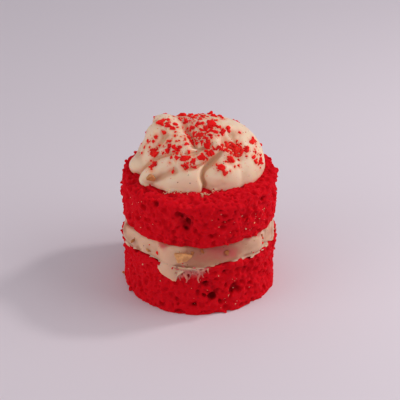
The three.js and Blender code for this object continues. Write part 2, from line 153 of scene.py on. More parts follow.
FILLING = SimpleNamespace(
    low=12.0, bare_low=18.6, high=25.2, reach=24.3, margin=4.5, crown=0.9, top_round=0.4,
    cavity=0.9, patches=0.5,
)
# Lumps of the side and of the ragged lower edge: size and height.
FILLING_WAVES = [(6.0, 0.45), (2.2, 0.4)]
LIP_RAGS = [(2.6, 0.35), (1.1, 0.3)]
# The thin lip over the lower disc: how far in from the side it starts and ends, how high it
# reaches, and its thickness.
LIP = SimpleNamespace(start=2.6, end=0.6, rise=0.6, thick=0.15, power=0.7, round=0.5)
# Bearing, spread and how far the cream swells out there.
FILLING_SWELLS = [
    (204, 11, 2.1), (180, 9, -0.5), (225, 12, 1.0), (246, 7, 1.9), (259, 7, 1.3), (318, 8, 1.4),
    (338, 8, 0.6), (30, 16, 1.2), (78, 10, 1.8), (112, 12, -0.6), (140, 12, 1.3),
]
# Where the top of the cream draws back under the upper disc, and how much red it soaks up there
# from its ledge to its top. This red stain grows darker towards the top, partly as painted shade
# under the upper disc, and the recess also gets painted shade in the cream's warm colour.
RECESS = SimpleNamespace(
    bearing=283, spread=20, depth=2.6, ledge=1.2, soak_and_shade=(0.22, 0.72), soak_and_shade_heights=(19.4, 22.4),
)
# Where it hangs thick over the lower disc, calmer than elsewhere, and paler because its painted
# shade is taken off.
DROOP = SimpleNamespace(bearing=246.5, spread=7.5, thick=1.1, swell=0.5, calm=0.7, pale=0.7)
# Red that the filling takes from the sponge, in streaks given by size and height. It grows from
# one height to another near the upper disc's foot and the lower disc's rim, and as the lip thins.
STAIN = SimpleNamespace(
    streaks=[(2.6, 1.0), (1.1, 0.5)], under=(-1.6, 0.2), under_share=0.35, lower=(1.2, -0.6),
    lower_share=0.3, skin=(1.3, 0.2), even=0.6, streaked=0.4, clean=0.35, soaked_and_shaded=0.35,
)
# How wide and how deep the material looks for creases in cream, to paint shade into them, and the
# size of its random warm blotches.
CREAM_CREASE_SHADE = SimpleNamespace(wide=1.3, deep=2.0)
BLOTCH_SIZE = 2.4
# Height of the cream's lower edge at bearings round the cake.
FILLING_EDGE = [
    (160, 18.3), (185, 18.3), (196, 17.0), (207, 17.4), (217, 18.7), (226, 19.3), (233, 18.7),
    (238, 18.6), (239.5, 16.6), (243, 15.5), (246, 14.6), (249, 13.8), (251.5, 12.9),
    (253.2, 12.6), (254.5, 15.4), (258, 16.5), (263, 16.9), (268, 17.3), (274, 17.7),
    (280, 18.5), (288, 19.0), (300, 18.7), (308, 18.2), (316, 18.5), (325, 18.6), (331, 18.9),
    (341, 18.6), (360, 18.3), (378, 17.2), (400, 18.6), (428, 17.0), (440, 17.3), (460, 18.8),
    (480, 17.9), (500, 18.6), (520, 18.3),
]
# Lower edge of the thin film of cream that is smeared over the lower sponge: bearing and height.
SMEAR_EDGE = [
    (250, 19.0), (252, 16.0), (253.5, 13.6), (256, 14.2), (260, 14.0), (264, 14.8), (269, 14.4),
    (272, 15.2), (275.5, 17.2), (281, 19.0),
]
# Thin strands of cream drawn down the lower sponge: bearing, top, foot and width.
STRANDS = [
    (252.8, 15.4, 12.4, 1.1), (255.6, 15.0, 13.1, 0.7), (260.6, 15.6, 12.6, 0.95),
    (263.4, 16.4, 14.0, 0.6), (269.6, 17.2, 12.8, 0.9), (272.5, 17.2, 14.8, 0.6),
    (276.5, 18.0, 16.2, 0.6),
]
STRAND = SimpleNamespace(sway=0.25, bends=1.5, flat=1.3, top=0.55, foot=0.30)
# The smeared film: its block and mesh, its torn thickness, how it thins out at its ends, its
# lower edge and its top, and how red it is.
SMEAR = SimpleNamespace(
    box=((-14.0, -28.0, 12.0), (9.0, -22.5, 20.0)), cell_share=0.75, triangles=40000, proud=0.25,
    tears=[(2.0, 0.8), (0.9, 0.6)], thick=0.26, grow=1.6, torn=0.9, thin=0.16, ragged=0.2,
    edge=(0.9, 0.5), top=0.8, blend=0.4, ripple=(0.7, 0.08), left=(249, 253), right=(281, 275),
    fade=(-0.8, 1.6), stain=0.2, red_stain=0.7, flat=(0.9, 0.4), red_heights=(18.6, 16.8),
    cavity=0.6,
)

# ---- Swirl ----

# A dome, measured from its centre inside the cream.
DOME = SimpleNamespace(
    centre=(-1.0, 3.6, 39.0), left=19.4, right=21.6, front=18.6, back=16.5, top=17.0,
    tilt=-0.02, power_x=2.6, power_y=2.0, power_z=2.1,
)


def crease(deep, below, above, *points, fade_in=0.05, fade_out=0.2, power=1.1):
    """A crease between two folds, through points given as bearing and rise on the dome. Below and
    above are the widths of its two banks, and it fades in and out over a share of its length. A
    power of 1 makes it sharp and a power of 2 makes it round."""
    return SimpleNamespace(
        deep=deep, below=below, above=above, points=points, fade_in=fade_in, fade_out=fade_out,
        power=power,
    )


def back_crease(start):
    """One of the like creases that climb round the back of the dome from a bearing."""
    rule = BACK_CREASES
    points = [
        (start + rule.turn * (step / rule.steps) ** 1.5, rule.climb * step + rule.foot)
        for step in range(rule.steps + 1)
    ]
    return crease(2.1, 2.4, 0.9, *points)


BACK_CREASES = SimpleNamespace(starts=(12, 50, 86, 120), turn=70, climb=14, foot=-12, steps=5)

CREASES = [
    # Front: over the front fold, round the left fold, over the middle fold, and two soft valleys.
    crease(1.5, 2.2, 2.6, (224, 2), (226, 6), (230, 10), (236, 15), (243, 20), (251, 23),
           (259, 25.7), fade_out=0.3, power=1.7),
    crease(2.4, 2.2, 0.7, (249, 21.2), (259, 24.3), (270, 28.1), (280, 32.1), (290, 35.6),
           (301, 38.7), (312, 41), fade_in=0.5, fade_out=0.15, power=1.1),
    crease(1.8, 1.7, 1.7, (203, -12), (205, 3), (209, 13), (214, 22), (222, 30), (233, 37),
           (244, 42), (259, 44), fade_out=0.35),
    crease(2.5, 2.7, 0.6, (249, 33), (258, 40), (266, 44), (277, 48), (290, 50), (305, 51),
           fade_in=0.5, fade_out=0.25, power=1.1),
    crease(2.5, 1.9, 1.7, (268, 47), (267, 52), (261, 60), (252, 66), (229, 73), (176, 79),
           fade_in=0.15, power=1.5),
    crease(0.9, 1.6, 1.6, (214, 31), (213, 38), (212, 46), (207, 57), fade_in=0.3, power=2.0),
    # The curl where the front fold ends, the ridge right of it, the right foot and the trough.
    crease(2.9, 3.0, 0.4, (277, -12), (277, 3), (277.5, 9), (275.5, 15), (275.5, 19.5),
           (278, 24.5), (283, 28.7), (290.5, 32.6), (299.5, 36), (309, 38.5), fade_out=0.3,
           power=1.2),
    crease(-0.8, 2.2, 1.6, (290, 6), (291, 13), (295, 18), (300, 22.5), (306, 26), (313, 29),
           fade_in=0.4, fade_out=0.4, power=1.6),
    crease(0.8, 2.4, 1.8, (317, -10), (317, 6), (317.5, 12), (318.5, 18.6), (322, 25), (330, 30),
           power=2.0),
    crease(1.7, 2.2, 2.2, (345, 56), (338, 49), (331, 41), (324, 35), (316, 30), (307, 26),
           (299, 22), fade_in=0.2, fade_out=0.3, power=1.7),
    *(back_crease(start) for start in BACK_CREASES.starts),
]
CREASE_STEPS = 24
# The chart of the creases: degrees between its points, its lowest and highest rise, and how near
# the dome's surface it is used.
CHART = SimpleNamespace(step=0.5, low=-12, high=90, reach=4.0)
# Lobes that stand out of the dome: two fold ends at the foot and the crest at the left.
# Each has a centre, radii and the width of its blend, and so has the hollow near the top.
LOBES = [
    ((-18.3, 0.2, 41.2), (4.4, 4.6, 3.4), 1.6),
    ((-15.6, -8.4, 41.6), (3.9, 3.6, 3.6), 3.2),
    ((-11.3, 3.6, 51.2), (6.3, 7.0, 6.2), 2.0),
]
HOLLOW = ((10.0, -6.0, 53.6), (3.2, 3.4, 3.6), 2.0)
# Lumps of the swirl's surface: size and height.
SWIRL_WAVES = [(5.0, 0.16), (2.0, 0.07)]
SWIRL = SimpleNamespace(
    low=(-24.0, -18.0), high=(23.0, 22.0, 60.0), foot_margin=1.5, sunk=0.7, cavity=1.9,
)
# Flat bits of cream that spread from the swirl's foot: bearing, distance from the axis and size.
FOOT_BITS = [
    (233, 17.4, 1.5), (237, 17.2, 2.0), (241, 16.6, 1.8), (245, 16.2, 2.0), (250, 15.8, 1.4),
    (257, 15.6, 1.2), (273, 15.6, 1.5), (277, 15.8, 2.1), (281, 15.9, 1.9), (285, 15.5, 2.0),
    (290, 14.9, 1.7), (70, 21.0, 1.2), (120, 20.0, 1.0), (155, 20.5, 1.1),
]
FOOT_BIT = SimpleNamespace(
    radii=(0.36, 0.26, 0.22), stretch=(0.7, 1.25), turn=(50, 130), sink=0.1, room=2.5, blend=0.5,
)

# ---- Crumbs, nuts and specks ----

# The largest crumbs on the swirl: bearing, rise and size.
LARGE_CRUMBS = [
    (192, 59, 2.8), (134, 68, 2.5), (176, 79, 2.0), (331, 73, 4.3), (325, 37, 3.4), (289, 51, 2.8),
    (255, 35, 2.6), (267, 31.5, 2.4), (246, 35, 2.0), (214, 32, 2.1), (314, 28, 2.6), (220, 23, 1.6),
    (218, 18, 1.3), (298, 25, 1.8), (347, 32, 2.0), (342, 14, 1.8), (62, 77, 2.0), (38, 68, 1.8),
    (200, 62, 1.9), (325, 44, 1.6), (339, 55, 1.6), (267, 69, 1.6), (243, 76, 2.0), (287, 64, 1.7),
    (312, 60, 1.6), (342, 55, 1.3), (348, 45, 1.3), (204, 60, 1.3), (207, 53, 1.3), (306, 43, 1.4),
    (293, 41, 1.3), (229, 39, 1.4), (240, 44, 1.3), (253, 52, 1.3), (120, 48, 2.4), (62, 55, 2.0),
    (95, 30, 1.8), (150, 38, 1.9), (35, 36, 1.7),
]
LARGE_CRUMB = SimpleNamespace(grow=1.22, lift=0.26)
# Where small crumbs lie thickest: bearing, rise, spread in degrees and how many.
CRUMB_PATCHES = [
    (262, 80, 7, 14), (296, 68, 8, 24), (321, 68, 7, 12), (256, 63, 6, 16), (279, 62, 6, 16),
    (326, 57, 4, 8), (325, 38, 5, 34), (322, 30, 4, 14), (312, 39, 5, 14), (214, 32, 5, 18),
    (229, 41, 5, 12), (242, 43, 4, 8), (196, 58, 5, 9), (205, 62, 5, 6), (163, 75, 6, 10),
    (257, 38, 4, 9), (267, 31.5, 2.5, 8), (260, 28.5, 2.5, 6), (280, 37, 3, 13), (288, 41, 3, 8),
    (298, 43, 3, 6), (314, 28, 4, 7), (298, 24, 3, 10), (300, 20, 3, 6), (351, 30, 4, 9),
    (341, 20, 5, 12), (344, 14, 4, 7), (222, 23, 3, 6), (220, 18, 2, 4), (332, 31, 3, 6),
    (283, 56, 5, 9), (290, 52, 4, 7), (100, 60, 12, 24), (60, 40, 10, 14), (140, 45, 10, 16),
    (20, 60, 8, 10),
]
# Places that crumbs keep clear of, as bearing, rise and spread.
BARE_PATCHES = [
    (8, 45, 14), (350, 62, 9), (265, 12, 13), (302, 12, 12), (232, 8, 12), (281, 28, 5),
    (291, 33, 5), (301, 37, 4),
]
PATCH_SCATTER = 0.7
# Rises between which crumbs lie outside the patches, and how they thin out downwards.
EVEN_CRUMBS = SimpleNamespace(rises=(8, 88), power=0.8)
# Two kinds of strewn crumb: their sizes, how much rarer the large ones are, how far they stand
# out as a share of their size, how wide and how many they lie in the patches, and how many more
# lie evenly.
SMALL_CRUMBS = SimpleNamespace(
    low=0.55, high=1.85, rarity=1.5, lift=0.22, widen=1.0, share=1.0, even=120,
)
CRUMB_DUST = SimpleNamespace(
    low=0.16, high=0.48, rarity=1.6, lift=0.2, widen=1.9, share=1.1, even=900,
)
# Crumbs in the side of the filling, and the largest one's bearing, height and size.
PRESSED_CRUMBS = SimpleNamespace(
    count=13, heights=(19.5, 24), sizes=(0.4, 0.9), largest=(238.0, 21.5, 1.3),
)
# Level of the painted cavity shade on every loose crumb. It is above the plain level, so there is no
# painted shade and more of the lighter tip colour.
LOOSE_CRUMB_SHADE = 0.62
# How far the red of the crumbs bleeds into the swirl, and how high the red of the disc.
BLEED = SimpleNamespace(grow=0.55, reach=0.65, strength=0.7, foot=0.35, foot_height=1.6)

# A chip is a ball with waves and flat breaks: how many, and how far out the breaks lie.
CHIP = SimpleNamespace(
    lumps=3, waves=1.8, breaks=6, break_at=(0.4, 0.8), stretch=(0.78, 1.22), width=1.7,
)
# How far out and how far up lines that look for a surface start, and how far small bits stand
# out of it as a share of their size.
FAR_OUT = 45
ABOVE = 10
BIT_LIFT = 0.1

# Nut pieces: bearing, height, how far out, size, the piece's own length, depth and height, and
# how much dark skin shows.
NUTS = [
    (257.6, 21.6, 24.8, 5.2, (1.1, 0.8, 0.9), 0.1), (263.5, 23.0, 23.8, 2.4, (1.0, 0.7, 0.8), 0.8),
    (214.5, 21.9, 25.4, 2.0, (0.9, 0.6, 1.1), 0.7), (229.5, 21.3, 24.7, 2.0, (1.0, 0.6, 0.9), 0.4),
    (291.5, 22.0, 23.8, 1.7, (1.0, 0.9, 0.7), 0.9), (272.0, 23.2, 23.2, 2.4, (1.1, 0.9, 0.6), 0.9),
    (323, 24.0, 24.6, 1.4, (1.0, 0.8, 0.8), 0.4),
    (80, 21.6, 25.3, 3.4, (1.0, 0.8, 0.7), 0.2), (150, 22.0, 24.8, 2.6, (1.0, 0.8, 0.7), 0.6),
    (30, 22.2, 24.8, 1.9, (1.0, 0.8, 0.8), 0.6),
]
# The bit at the cake's foot, in the same way.
CAKE_FOOT_NUT = (181, 0.8, 25.3, 1.1, (1.0, 1.0, 0.8), 0.3)
# The nut piece in the swirl: its place, size, shape and skin.
SWIRL_NUT = (np.array((-15.2, -10.6, 42.7)), 2.9, (0.8, 0.8, 1.0), 0.2)
NUT_CHIP = SimpleNamespace(jitter=0.03, lumps=0.06)
# Flecks of cream on a sponge side: which disc, bearing, spread, lowest, highest and how many.
CREAM_FLECKS = [
    ("top", 318, 7, 27, 34, 14), ("top", 300, 12, 28, 38, 10), ("bottom", 293, 6, 2, 7, 10),
    ("bottom", 270, 25, 3, 15, 16), ("top", 220, 15, 28, 38, 8), ("top", 90, 50, 27, 38, 16),
    ("bottom", 90, 60, 3, 17, 16),
]
FLECK = SimpleNamespace(low=0.2, high=0.5, rarity=2)
# Scraps of cream round each flat bit at the swirl's foot.
FOOT_SCRAP = SimpleNamespace(
    each=4, outward=(-0.3, 1.3), spread=2.0, low=0.35, high=1.1, rarity=1.5,
)
CREAM_BIT = SimpleNamespace(jitter=0.1, cavity=0.4, stain=0.5)
# Dark specks in the cream. The largest ones on the swirl have a bearing, a rise and a size.
SWIRL_SPECKS = SimpleNamespace(
    count=70, rises=(4, 70), sizes=(0.14, 0.32),
    largest=[(252, 12, 0.45), (264, 12, 0.4), (262, 20, 0.3)],
)
FILLING_SPECKS = SimpleNamespace(count=60, heights=(18, 24.3), sizes=(0.16, 0.45))


# ---- Numbers: noise, blending, sampling ----


def lerp(a, b, share):
    """A value that share of the way from a to b."""
    return a + (b - a) * share


def smoothstep(value, low, high):
    """A soft step from 0 at low to 1 at high, which may be the smaller of the two."""
    share = np.clip((value - low) / (high - low), 0.0, 1.0)
    return share * share * (3.0 - 2.0 * share)


def smooth_min(a, b, blend):
    """The smaller of two distances, with a rounded join about blend wide."""
    share = np.clip(0.5 + 0.5 * (b - a) / blend, 0.0, 1.0)
    return lerp(b, a, share) - blend * share * (1.0 - share)


def smooth_max(a, b, blend):
    """The larger of two distances, with a rounded join about blend wide."""
    return -smooth_min(-a, -b, blend)


def angle_between(a, b):
    """Smallest signed difference between two bearings in degrees."""
    return (a - b + TURN / 2) % TURN - TURN / 2


def bearing_of(x, y):
    """Bearing round the cake's axis in degrees."""
    return np.degrees(np.arctan2(y, x))


def direction_at(bearing, rise):
    """Unit vector towards a bearing and a rise above the horizon, both in degrees."""
    bearing, rise = np.broadcast_arrays(np.radians(bearing), np.radians(rise))
    flat = np.cos(rise)
    return np.stack([flat * np.cos(bearing), flat * np.sin(bearing), np.sin(rise)], -1)


class Block:
    """Evenly spaced points in millimetres on which a form's signed distance is worked out."""

    def __init__(self, low, high, cell):
        step = cell / MM * 1.0
        self.step = step
        self.low = np.array(low, np.float32)
        self.axes = [np.arange(a, b + step, step, dtype=np.float32) for a, b in zip(low, high)]
        self.shape = tuple(len(axis) for axis in self.axes)

    def points(self):
        """The x, y and z of the points, as arrays that broadcast to the whole block."""
        return np.meshgrid(*self.axes, indexing="ij", sparse=True)

    def around(self, centre, reach):
        """Slices of the block within reach of a centre, and the offsets of their points."""
        cut, offsets = [], []
        for axis, middle in zip(self.axes, centre):
            start = max(int((middle - reach - axis[0]) / self.step), 0)
            stop = min(int((middle + reach - axis[0]) / self.step) + 2, len(axis))
            cut.append(slice(start, max(stop, start)))
            offsets.append(axis[cut[-1]] - middle)
        return tuple(cut), np.meshgrid(*offsets, indexing="ij", sparse=True)

    def ball(self, centre, radii):
        """Signed distance to an upright ellipsoid, near enough for blending."""
        offsets = [axis - middle for axis, middle in zip(self.points(), centre)]
        return ball_distance(offsets, radii, np.eye(3))

    def noise(self, size, seed):
        """Smooth noise from about -1 to 1 with lumps about size across."""
        weights = [spline_weights(axis, size) for axis in self.axes]
        lattice = np.random.default_rng(seed).uniform(-1, 1, [w.shape[1] for w in weights])
        field = lattice.astype(np.float32)
        for weight in weights:
            field = np.tensordot(field, weight, (0, 1))
        return field * NOISE_GAIN

    def layered_noise(self, layers, seed):
        """The sum of noises given by size and height, each with the next seed."""
        return sum(
            height * self.noise(size, seed + index) for index, (size, height) in enumerate(layers)
        )

    def read(self, field, points):
        """Values of a field at points, blended between the eight nearest samples."""
        place = (points - self.low) / self.step
        place = np.clip(place, 0, np.array(self.shape) - LAST_CELL)
        base = place.astype(int)
        share = place - base
        total = np.zeros(len(points), np.float32)
        for corner in np.ndindex(2, 2, 2):
            weight = np.prod(np.where(corner, share, 1 - share), axis=1)
            total += weight * field[tuple((base + corner).T)]
        return total

    def nearby(self, field, points, kind):
        """The field averaged round points on its surface: above zero on ridges and below it in
        hollows. The kind says how wide it looks and how deep."""
        clipped = np.clip(field, -kind.deep, kind.deep)
        return self.read(blurred(clipped, round(kind.wide / self.step)), points)


def spline_weights(axis, size):
    """Cubic B-spline weights that blend a lattice of the given spacing onto an axis."""
    place = (axis - axis[0]) / size + 1.0
    base = place.astype(int)
    share = place - base
    weights = np.zeros((len(axis), base[-1] + 3), np.float32)
    rows = np.arange(len(axis))
    taps = [
        (1 - share) ** 3, 3 * share**3 - 6 * share**2 + 4,
        -3 * share**3 + 3 * share**2 + 3 * share + 1, share**3,
    ]
    for offset, tap in enumerate(taps):
        weights[rows, base - 1 + offset] = tap / 6.0
    return weights


def blurred(field, cells):
    """The field averaged over a cube of 2 x cells + 1 samples a side."""
    for axis in range(3):
        padding = [(cells + 1, cells) if a == axis else (0, 0) for a in range(3)]
        total = np.cumsum(np.pad(field, padding, "edge"), axis=axis, dtype=np.float64)
        ahead = np.take(total, np.arange(2 * cells + 1, total.shape[axis]), axis=axis)
        behind = np.take(total, np.arange(0, total.shape[axis] - 2 * cells - 1), axis=axis)
        field = ((ahead - behind) / (2 * cells + 1)).astype(np.float32)
    return field


def random_turn(rng):
    """A random rotation matrix."""
    turn, upper = np.linalg.qr(rng.normal(size=(3, 3)))
    return turn * np.sign(np.diag(upper))


def ball_distance(offsets, radii, turn):
    """Signed distance, near enough for blending, to an ellipsoid of the given radii."""
    x, y, z = offsets
    total = 0.0
    for row, radius in zip(turn, radii):
        total = total + ((x * row[0] + y * row[1] + z * row[2]) / radius) ** 2
    return (np.sqrt(total) - 1.0) * min(radii)


def press_balls(block, field, centres, sizes, blend, rng, outward):
    """Adds (outward) or carves many uneven balls into a field."""
    for centre, size in zip(centres, sizes):
        radii = size * rng.uniform(*BALL_STRETCH, 3)
        turn = random_turn(rng)
        cut, offsets = block.around(centre, max(BALL_STRETCH) * size + blend)
        part = field[cut]
        if part.size:
            ball = ball_distance(offsets, radii, turn)
            part[...] = smooth_min(part, ball, blend) if outward else smooth_max(part, -ball, blend)


# ---- Meshes ----


def main_piece(points, faces):
    """Keeps the largest connected piece of a mesh of quads."""
    label = np.arange(len(points))
    ends = np.concatenate([faces[:, [0, 1]], faces[:, [1, 2]], faces[:, [2, 3]]])
    while True:
        lowest = np.minimum(label[ends[:, 0]], label[ends[:, 1]])
        joined = label.copy()
        np.minimum.at(joined, ends[:, 0], lowest)
        np.minimum.at(joined, ends[:, 1], lowest)
        joined = joined[joined]
        if np.array_equal(joined, label):
            break
        label = joined
    names, counts = np.unique(label, return_counts=True)
    kept = label == names[counts.argmax()]
    number = np.cumsum(kept) - 1
    return points[kept], number[faces[kept[faces[:, 0]]]]


def surface_of(block, field, whole=True):
    """Points in millimetres and quads of the surface where a field is zero. Where it is to be
    whole, only its largest connected piece is kept."""
    reach = BAND_CELLS * block.step
    grid = openvdb.FloatGrid(reach)
    grid.copyFromArray(np.ascontiguousarray(np.clip(field, -reach, reach), dtype=np.float32))
    points, quads = grid.convertToQuads(0.0)
    quads = quads.astype(np.int64)
    if whole:
        points, quads = main_piece(points, quads)
    return points * block.step + block.low, quads[:, ::-1]


def new_mesh(name, points, faces):
    """A shaded-smooth mesh object in metres from points in millimetres."""
    mesh = bpy.data.meshes.new(name)
    mesh.vertices.add(len(points))
    mesh.vertices.foreach_set("co", (np.asarray(points) * MM).astype(np.float32).ravel())
    corners = faces.shape[1]
    mesh.loops.add(faces.size)
    mesh.loops.foreach_set("vertex_index", faces.astype(np.int32).ravel())
    mesh.polygons.add(len(faces))
    mesh.polygons.foreach_set("loop_start", np.arange(0, faces.size, corners, dtype=np.int32))
    mesh.polygons.foreach_set("use_smooth", np.ones(len(faces), bool))
    mesh.update(calc_edges=True)
    piece = bpy.data.objects.new(name, mesh)
    bpy.context.scene.collection.objects.link(piece)
    return piece


def thin_out(piece, triangles):
    """Decimates a piece made of quads to a number of triangles."""
    now = 2 * len(piece.data.polygons)
    if now <= triangles:
        return
    modifier = piece.modifiers.new("thin_out", "DECIMATE")
    modifier.ratio = triangles / now
    graph = bpy.context.evaluated_depsgraph_get()
    slim = bpy.data.meshes.new_from_object(piece.evaluated_get(graph), depsgraph=graph)
    piece.modifiers.clear()
    old = piece.data
    piece.data = slim
    bpy.data.meshes.remove(old)
    slim.name = piece.name


def points_of(piece):
    """The piece's points in millimetres."""
    places = np.empty(len(piece.data.vertices) * 3, np.float32)
    piece.data.vertices.foreach_get("co", places)
    return places.reshape(-1, 3) / MM


def paint(piece, name, values):
    """Stores a value from 0 to 1 on each point for the materials. One value serves all points."""
    values = np.broadcast_to(np.clip(values, 0, 1), len(piece.data.vertices))
    attribute = piece.data.attributes.new(name, "FLOAT", "POINT")
    attribute.data.foreach_set("value", np.ascontiguousarray(values, dtype=np.float32))


def finish_piece(piece, material, replaced=None):
    """Gives a piece its material and its place on the body, and hides the node it replaces."""
    piece.data.materials.clear()
    piece.data.materials.append(bpy.data.materials[material])
    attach(piece, "root")
    if replaced:
        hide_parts(replaced)
    return piece


# ---- Form of a sponge disc ----


def back_holes(disc, seed):
    """Holes for the sides and the back of a disc, one at random in each equal stretch."""
    rng = np.random.default_rng(seed)
    rule = BACK_HOLES
    holes = []
    for index in range(rule.count):
        bearing = lerp(rule.start, rule.end, (index + rng.random()) / rule.count)
        height = rng.uniform(disc.low + rule.margin, disc.high - rule.margin)
        wide = rule.size * rng.uniform(*rule.wide_range)
        tall = rule.size * rng.uniform(*rule.tall_range)
        deep = rule.deep * rng.uniform(*rule.deep_range)
        holes.append((bearing, height, wide, tall, deep))
    return holes


def dip_at(holes, disc, bearing, height):
    """How far the holes draw the side in at a bearing and a height."""
    total = 0.0
    for angle, middle, wide, tall, deep in holes:
        across = np.radians(angle_between(bearing, angle)) * disc.waist / wide
        total = total + deep * np.exp(-(across**2) - ((height - middle) / tall) ** 2)
    return total


def side_radius(disc, height):
    """Radius of a disc's plain side at a height."""
    share = np.clip((height - disc.low) / (disc.high - disc.low), 0, 1)
    return lerp(disc.foot, disc.rim, share**3) + (disc.waist - disc.foot) * np.sin(math.pi * share)


def disc_field(block, disc):
    """Signed distance to the plain disc with its two rounded edges."""
    x, y, z = block.points()
    middle, half = (disc.low + disc.high) / 2, (disc.high - disc.low) / 2
    rounding = np.where(z < middle, disc.foot_round, disc.rim_round)
    out = np.sqrt(x * x + y * y) - side_radius(disc, z) + rounding
    up = np.abs(z - middle) - half + rounding
    corner = np.sqrt(np.maximum(out, 0) ** 2 + np.maximum(up, 0) ** 2)
    return (corner + np.minimum(np.maximum(out, up), 0) - rounding).astype(np.float32)


def side_spots(disc, holes, sink, sizes, rng):
    """Random places on the cut side, sunk below it by a share of each size."""
    count = len(sizes)
    bearing = rng.uniform(0, TURN, count)
    height = rng.uniform(disc.low + SPOT_MARGIN.foot, disc.high - SPOT_MARGIN.top, count)
    radius = side_radius(disc, height) - dip_at(holes, disc, bearing, height)
    radius = radius - sink * sizes
    angle = np.radians(bearing)
    return np.stack([radius * np.cos(angle), radius * np.sin(angle), height], -1)


def face_spots(disc, sink, sizes, rng):
    """Random places on the bare ring of the upper face, sunk below it by a share of each size."""
    count = len(sizes)
    outer = disc.rim - SPOT_MARGIN.rim
    radius = np.sqrt(rng.uniform(disc.bare_from**2, outer**2, count))
    angle = rng.uniform(0, 2 * math.pi, count)
    fall = SPOT_MARGIN.fall * smoothstep(radius, disc.rim - disc.rim_round, disc.rim)
    height = disc.high - fall - sink * sizes
    return np.stack([radius * np.cos(angle), radius * np.sin(angle), height], -1)


def press_crumb(block, field, disc, holes, kind, count, rng):
    """Adds the grains or carves the pores of the cut side and of the bare ring of the face."""
    face_share = (disc.rim**2 - disc.bare_from**2) / (2 * disc.rim * (disc.high - disc.low))
    for on_face, number in ((False, count), (True, int(count * face_share))):
        sizes = lerp(kind.low, kind.high, rng.random(number) ** kind.rarity)
        sink = kind.sink * rng.uniform(*SINK_SPREAD, number)
        if on_face:
            centres = face_spots(disc, sink, sizes, rng)
        else:
            centres = side_spots(disc, holes, sink, sizes, rng)
        press_balls(block, field, centres, sizes, kind.blend, rng, kind.outward)


def sponge_field(block, disc, holes, settings, seed):
    """The open sponge: a disc with holes, three sizes of crumb, grains and pores."""
    rng = np.random.default_rng(seed)
    x, y, z = block.points()
    field = disc_field(block, disc)
    radius = np.sqrt(x * x + y * y)
    rough = smoothstep(radius, disc.bare_from - ROUGH_FADE.before, disc.bare_from + ROUGH_FADE.after)
    field += rough * dip_at(holes, disc, bearing_of(x, y), z).astype(np.float32)
    for layer, (size, height) in enumerate(CRUMB_LAYERS):
        field += rough * settings.relief * height * block.noise(size, seed + 1 + layer)
    for kind, count in ((GRAINS, settings.grains), (PORES, settings.pores)):
        press_crumb(block, field, disc, holes, kind, count, rng)
    field = lerp(field, blurred(field, 1), CRUMB_SOFTENING)
    return np.maximum(field, disc.low - z)


def build_sponge(name, node, disc, holes, seed, settings):
    """One sponge disc, with painted shade in its pits and holes, and the film of cream painted on
    it.
    """
    side = disc.rim + DISC_MARGIN
    low, high = disc.low - FOOT_MARGIN, disc.high + DISC_MARGIN
    block = Block((-side, -side, low), (side, side, high), settings.cell)
    field = sponge_field(block, disc, holes, settings, seed)
    piece = new_mesh(name, *surface_of(block, field))
    thin_out(piece, settings.triangles)
    points = points_of(piece)
    # Painted shade: darker the deeper a point lies below the plain disc, and where the crumb is
    # sunk.
    depth = -block.read(disc_field(block, disc), points)
    near = block.nearby(field, points, CRUMB_CAVITY_SHADE)
    paint(piece, "cavity", 0.5 + CRUMB_CAVITY_SHADE.strength * near)
    paint(piece, "hollow", HOLE_SHADE_STRENGTH * depth)
    paint(piece, "smear", smear_share(points) if disc is BOTTOM_DISC else 0.0)
    return finish_piece(piece, "red_sponge", node)


def smear_share(points):
    """How much the thin film of cream covers the lower sponge at each point."""
    x, y, z = points.T
    bearing = bearing_of(x, y) % TURN
    above = z - np.interp(bearing, *np.array(SMEAR_EDGE).T)
    ends = smoothstep(bearing, *SMEAR.left) * smoothstep(bearing, *SMEAR.right)
    return ends * smoothstep(above, *SMEAR.fade)


# ---- Form of the filling ----


def swell_at(bearing):
    """How far the filling swells out at a bearing."""
    total = 0.0
    for angle, spread, swell in FILLING_SWELLS:
        total = total + swell * np.exp(-((angle_between(bearing, angle) / spread) ** 2))
    return total


def edge_at(bearing):
    """Height of the filling's lower edge at a bearing."""
    start = FILLING_EDGE[0][0]
    return np.interp((bearing - start) % TURN + start, *np.array(FILLING_EDGE).T)


def recess_share(bearing):
    """One in the middle of the recess, fading to nothing at its ends."""
    return np.exp(-((angle_between(bearing, RECESS.bearing) / RECESS.spread) ** 2))


def droop_share(bearing):
    """One on the droop and nothing elsewhere, with short soft ends."""
    return np.exp(-((angle_between(bearing, DROOP.bearing) / DROOP.spread) ** 4))


def filling_reach(bearing, height, wave):
    """How far out the full side of the cream stands at a bearing and a height."""
    share = np.clip((height - FILLING.bare_low) / (FILLING.high - FILLING.bare_low), 0, 1)
    crown = FILLING.crown * (2 * share - 1) ** 4
    uneven = lerp(wave, DROOP.swell, DROOP.calm * droop_share(bearing))
    full = FILLING.reach + swell_at(bearing) - crown + uneven
    return full + recess_share(bearing) * (RECESS.ledge * (1 - share) ** 2 - RECESS.depth * share)


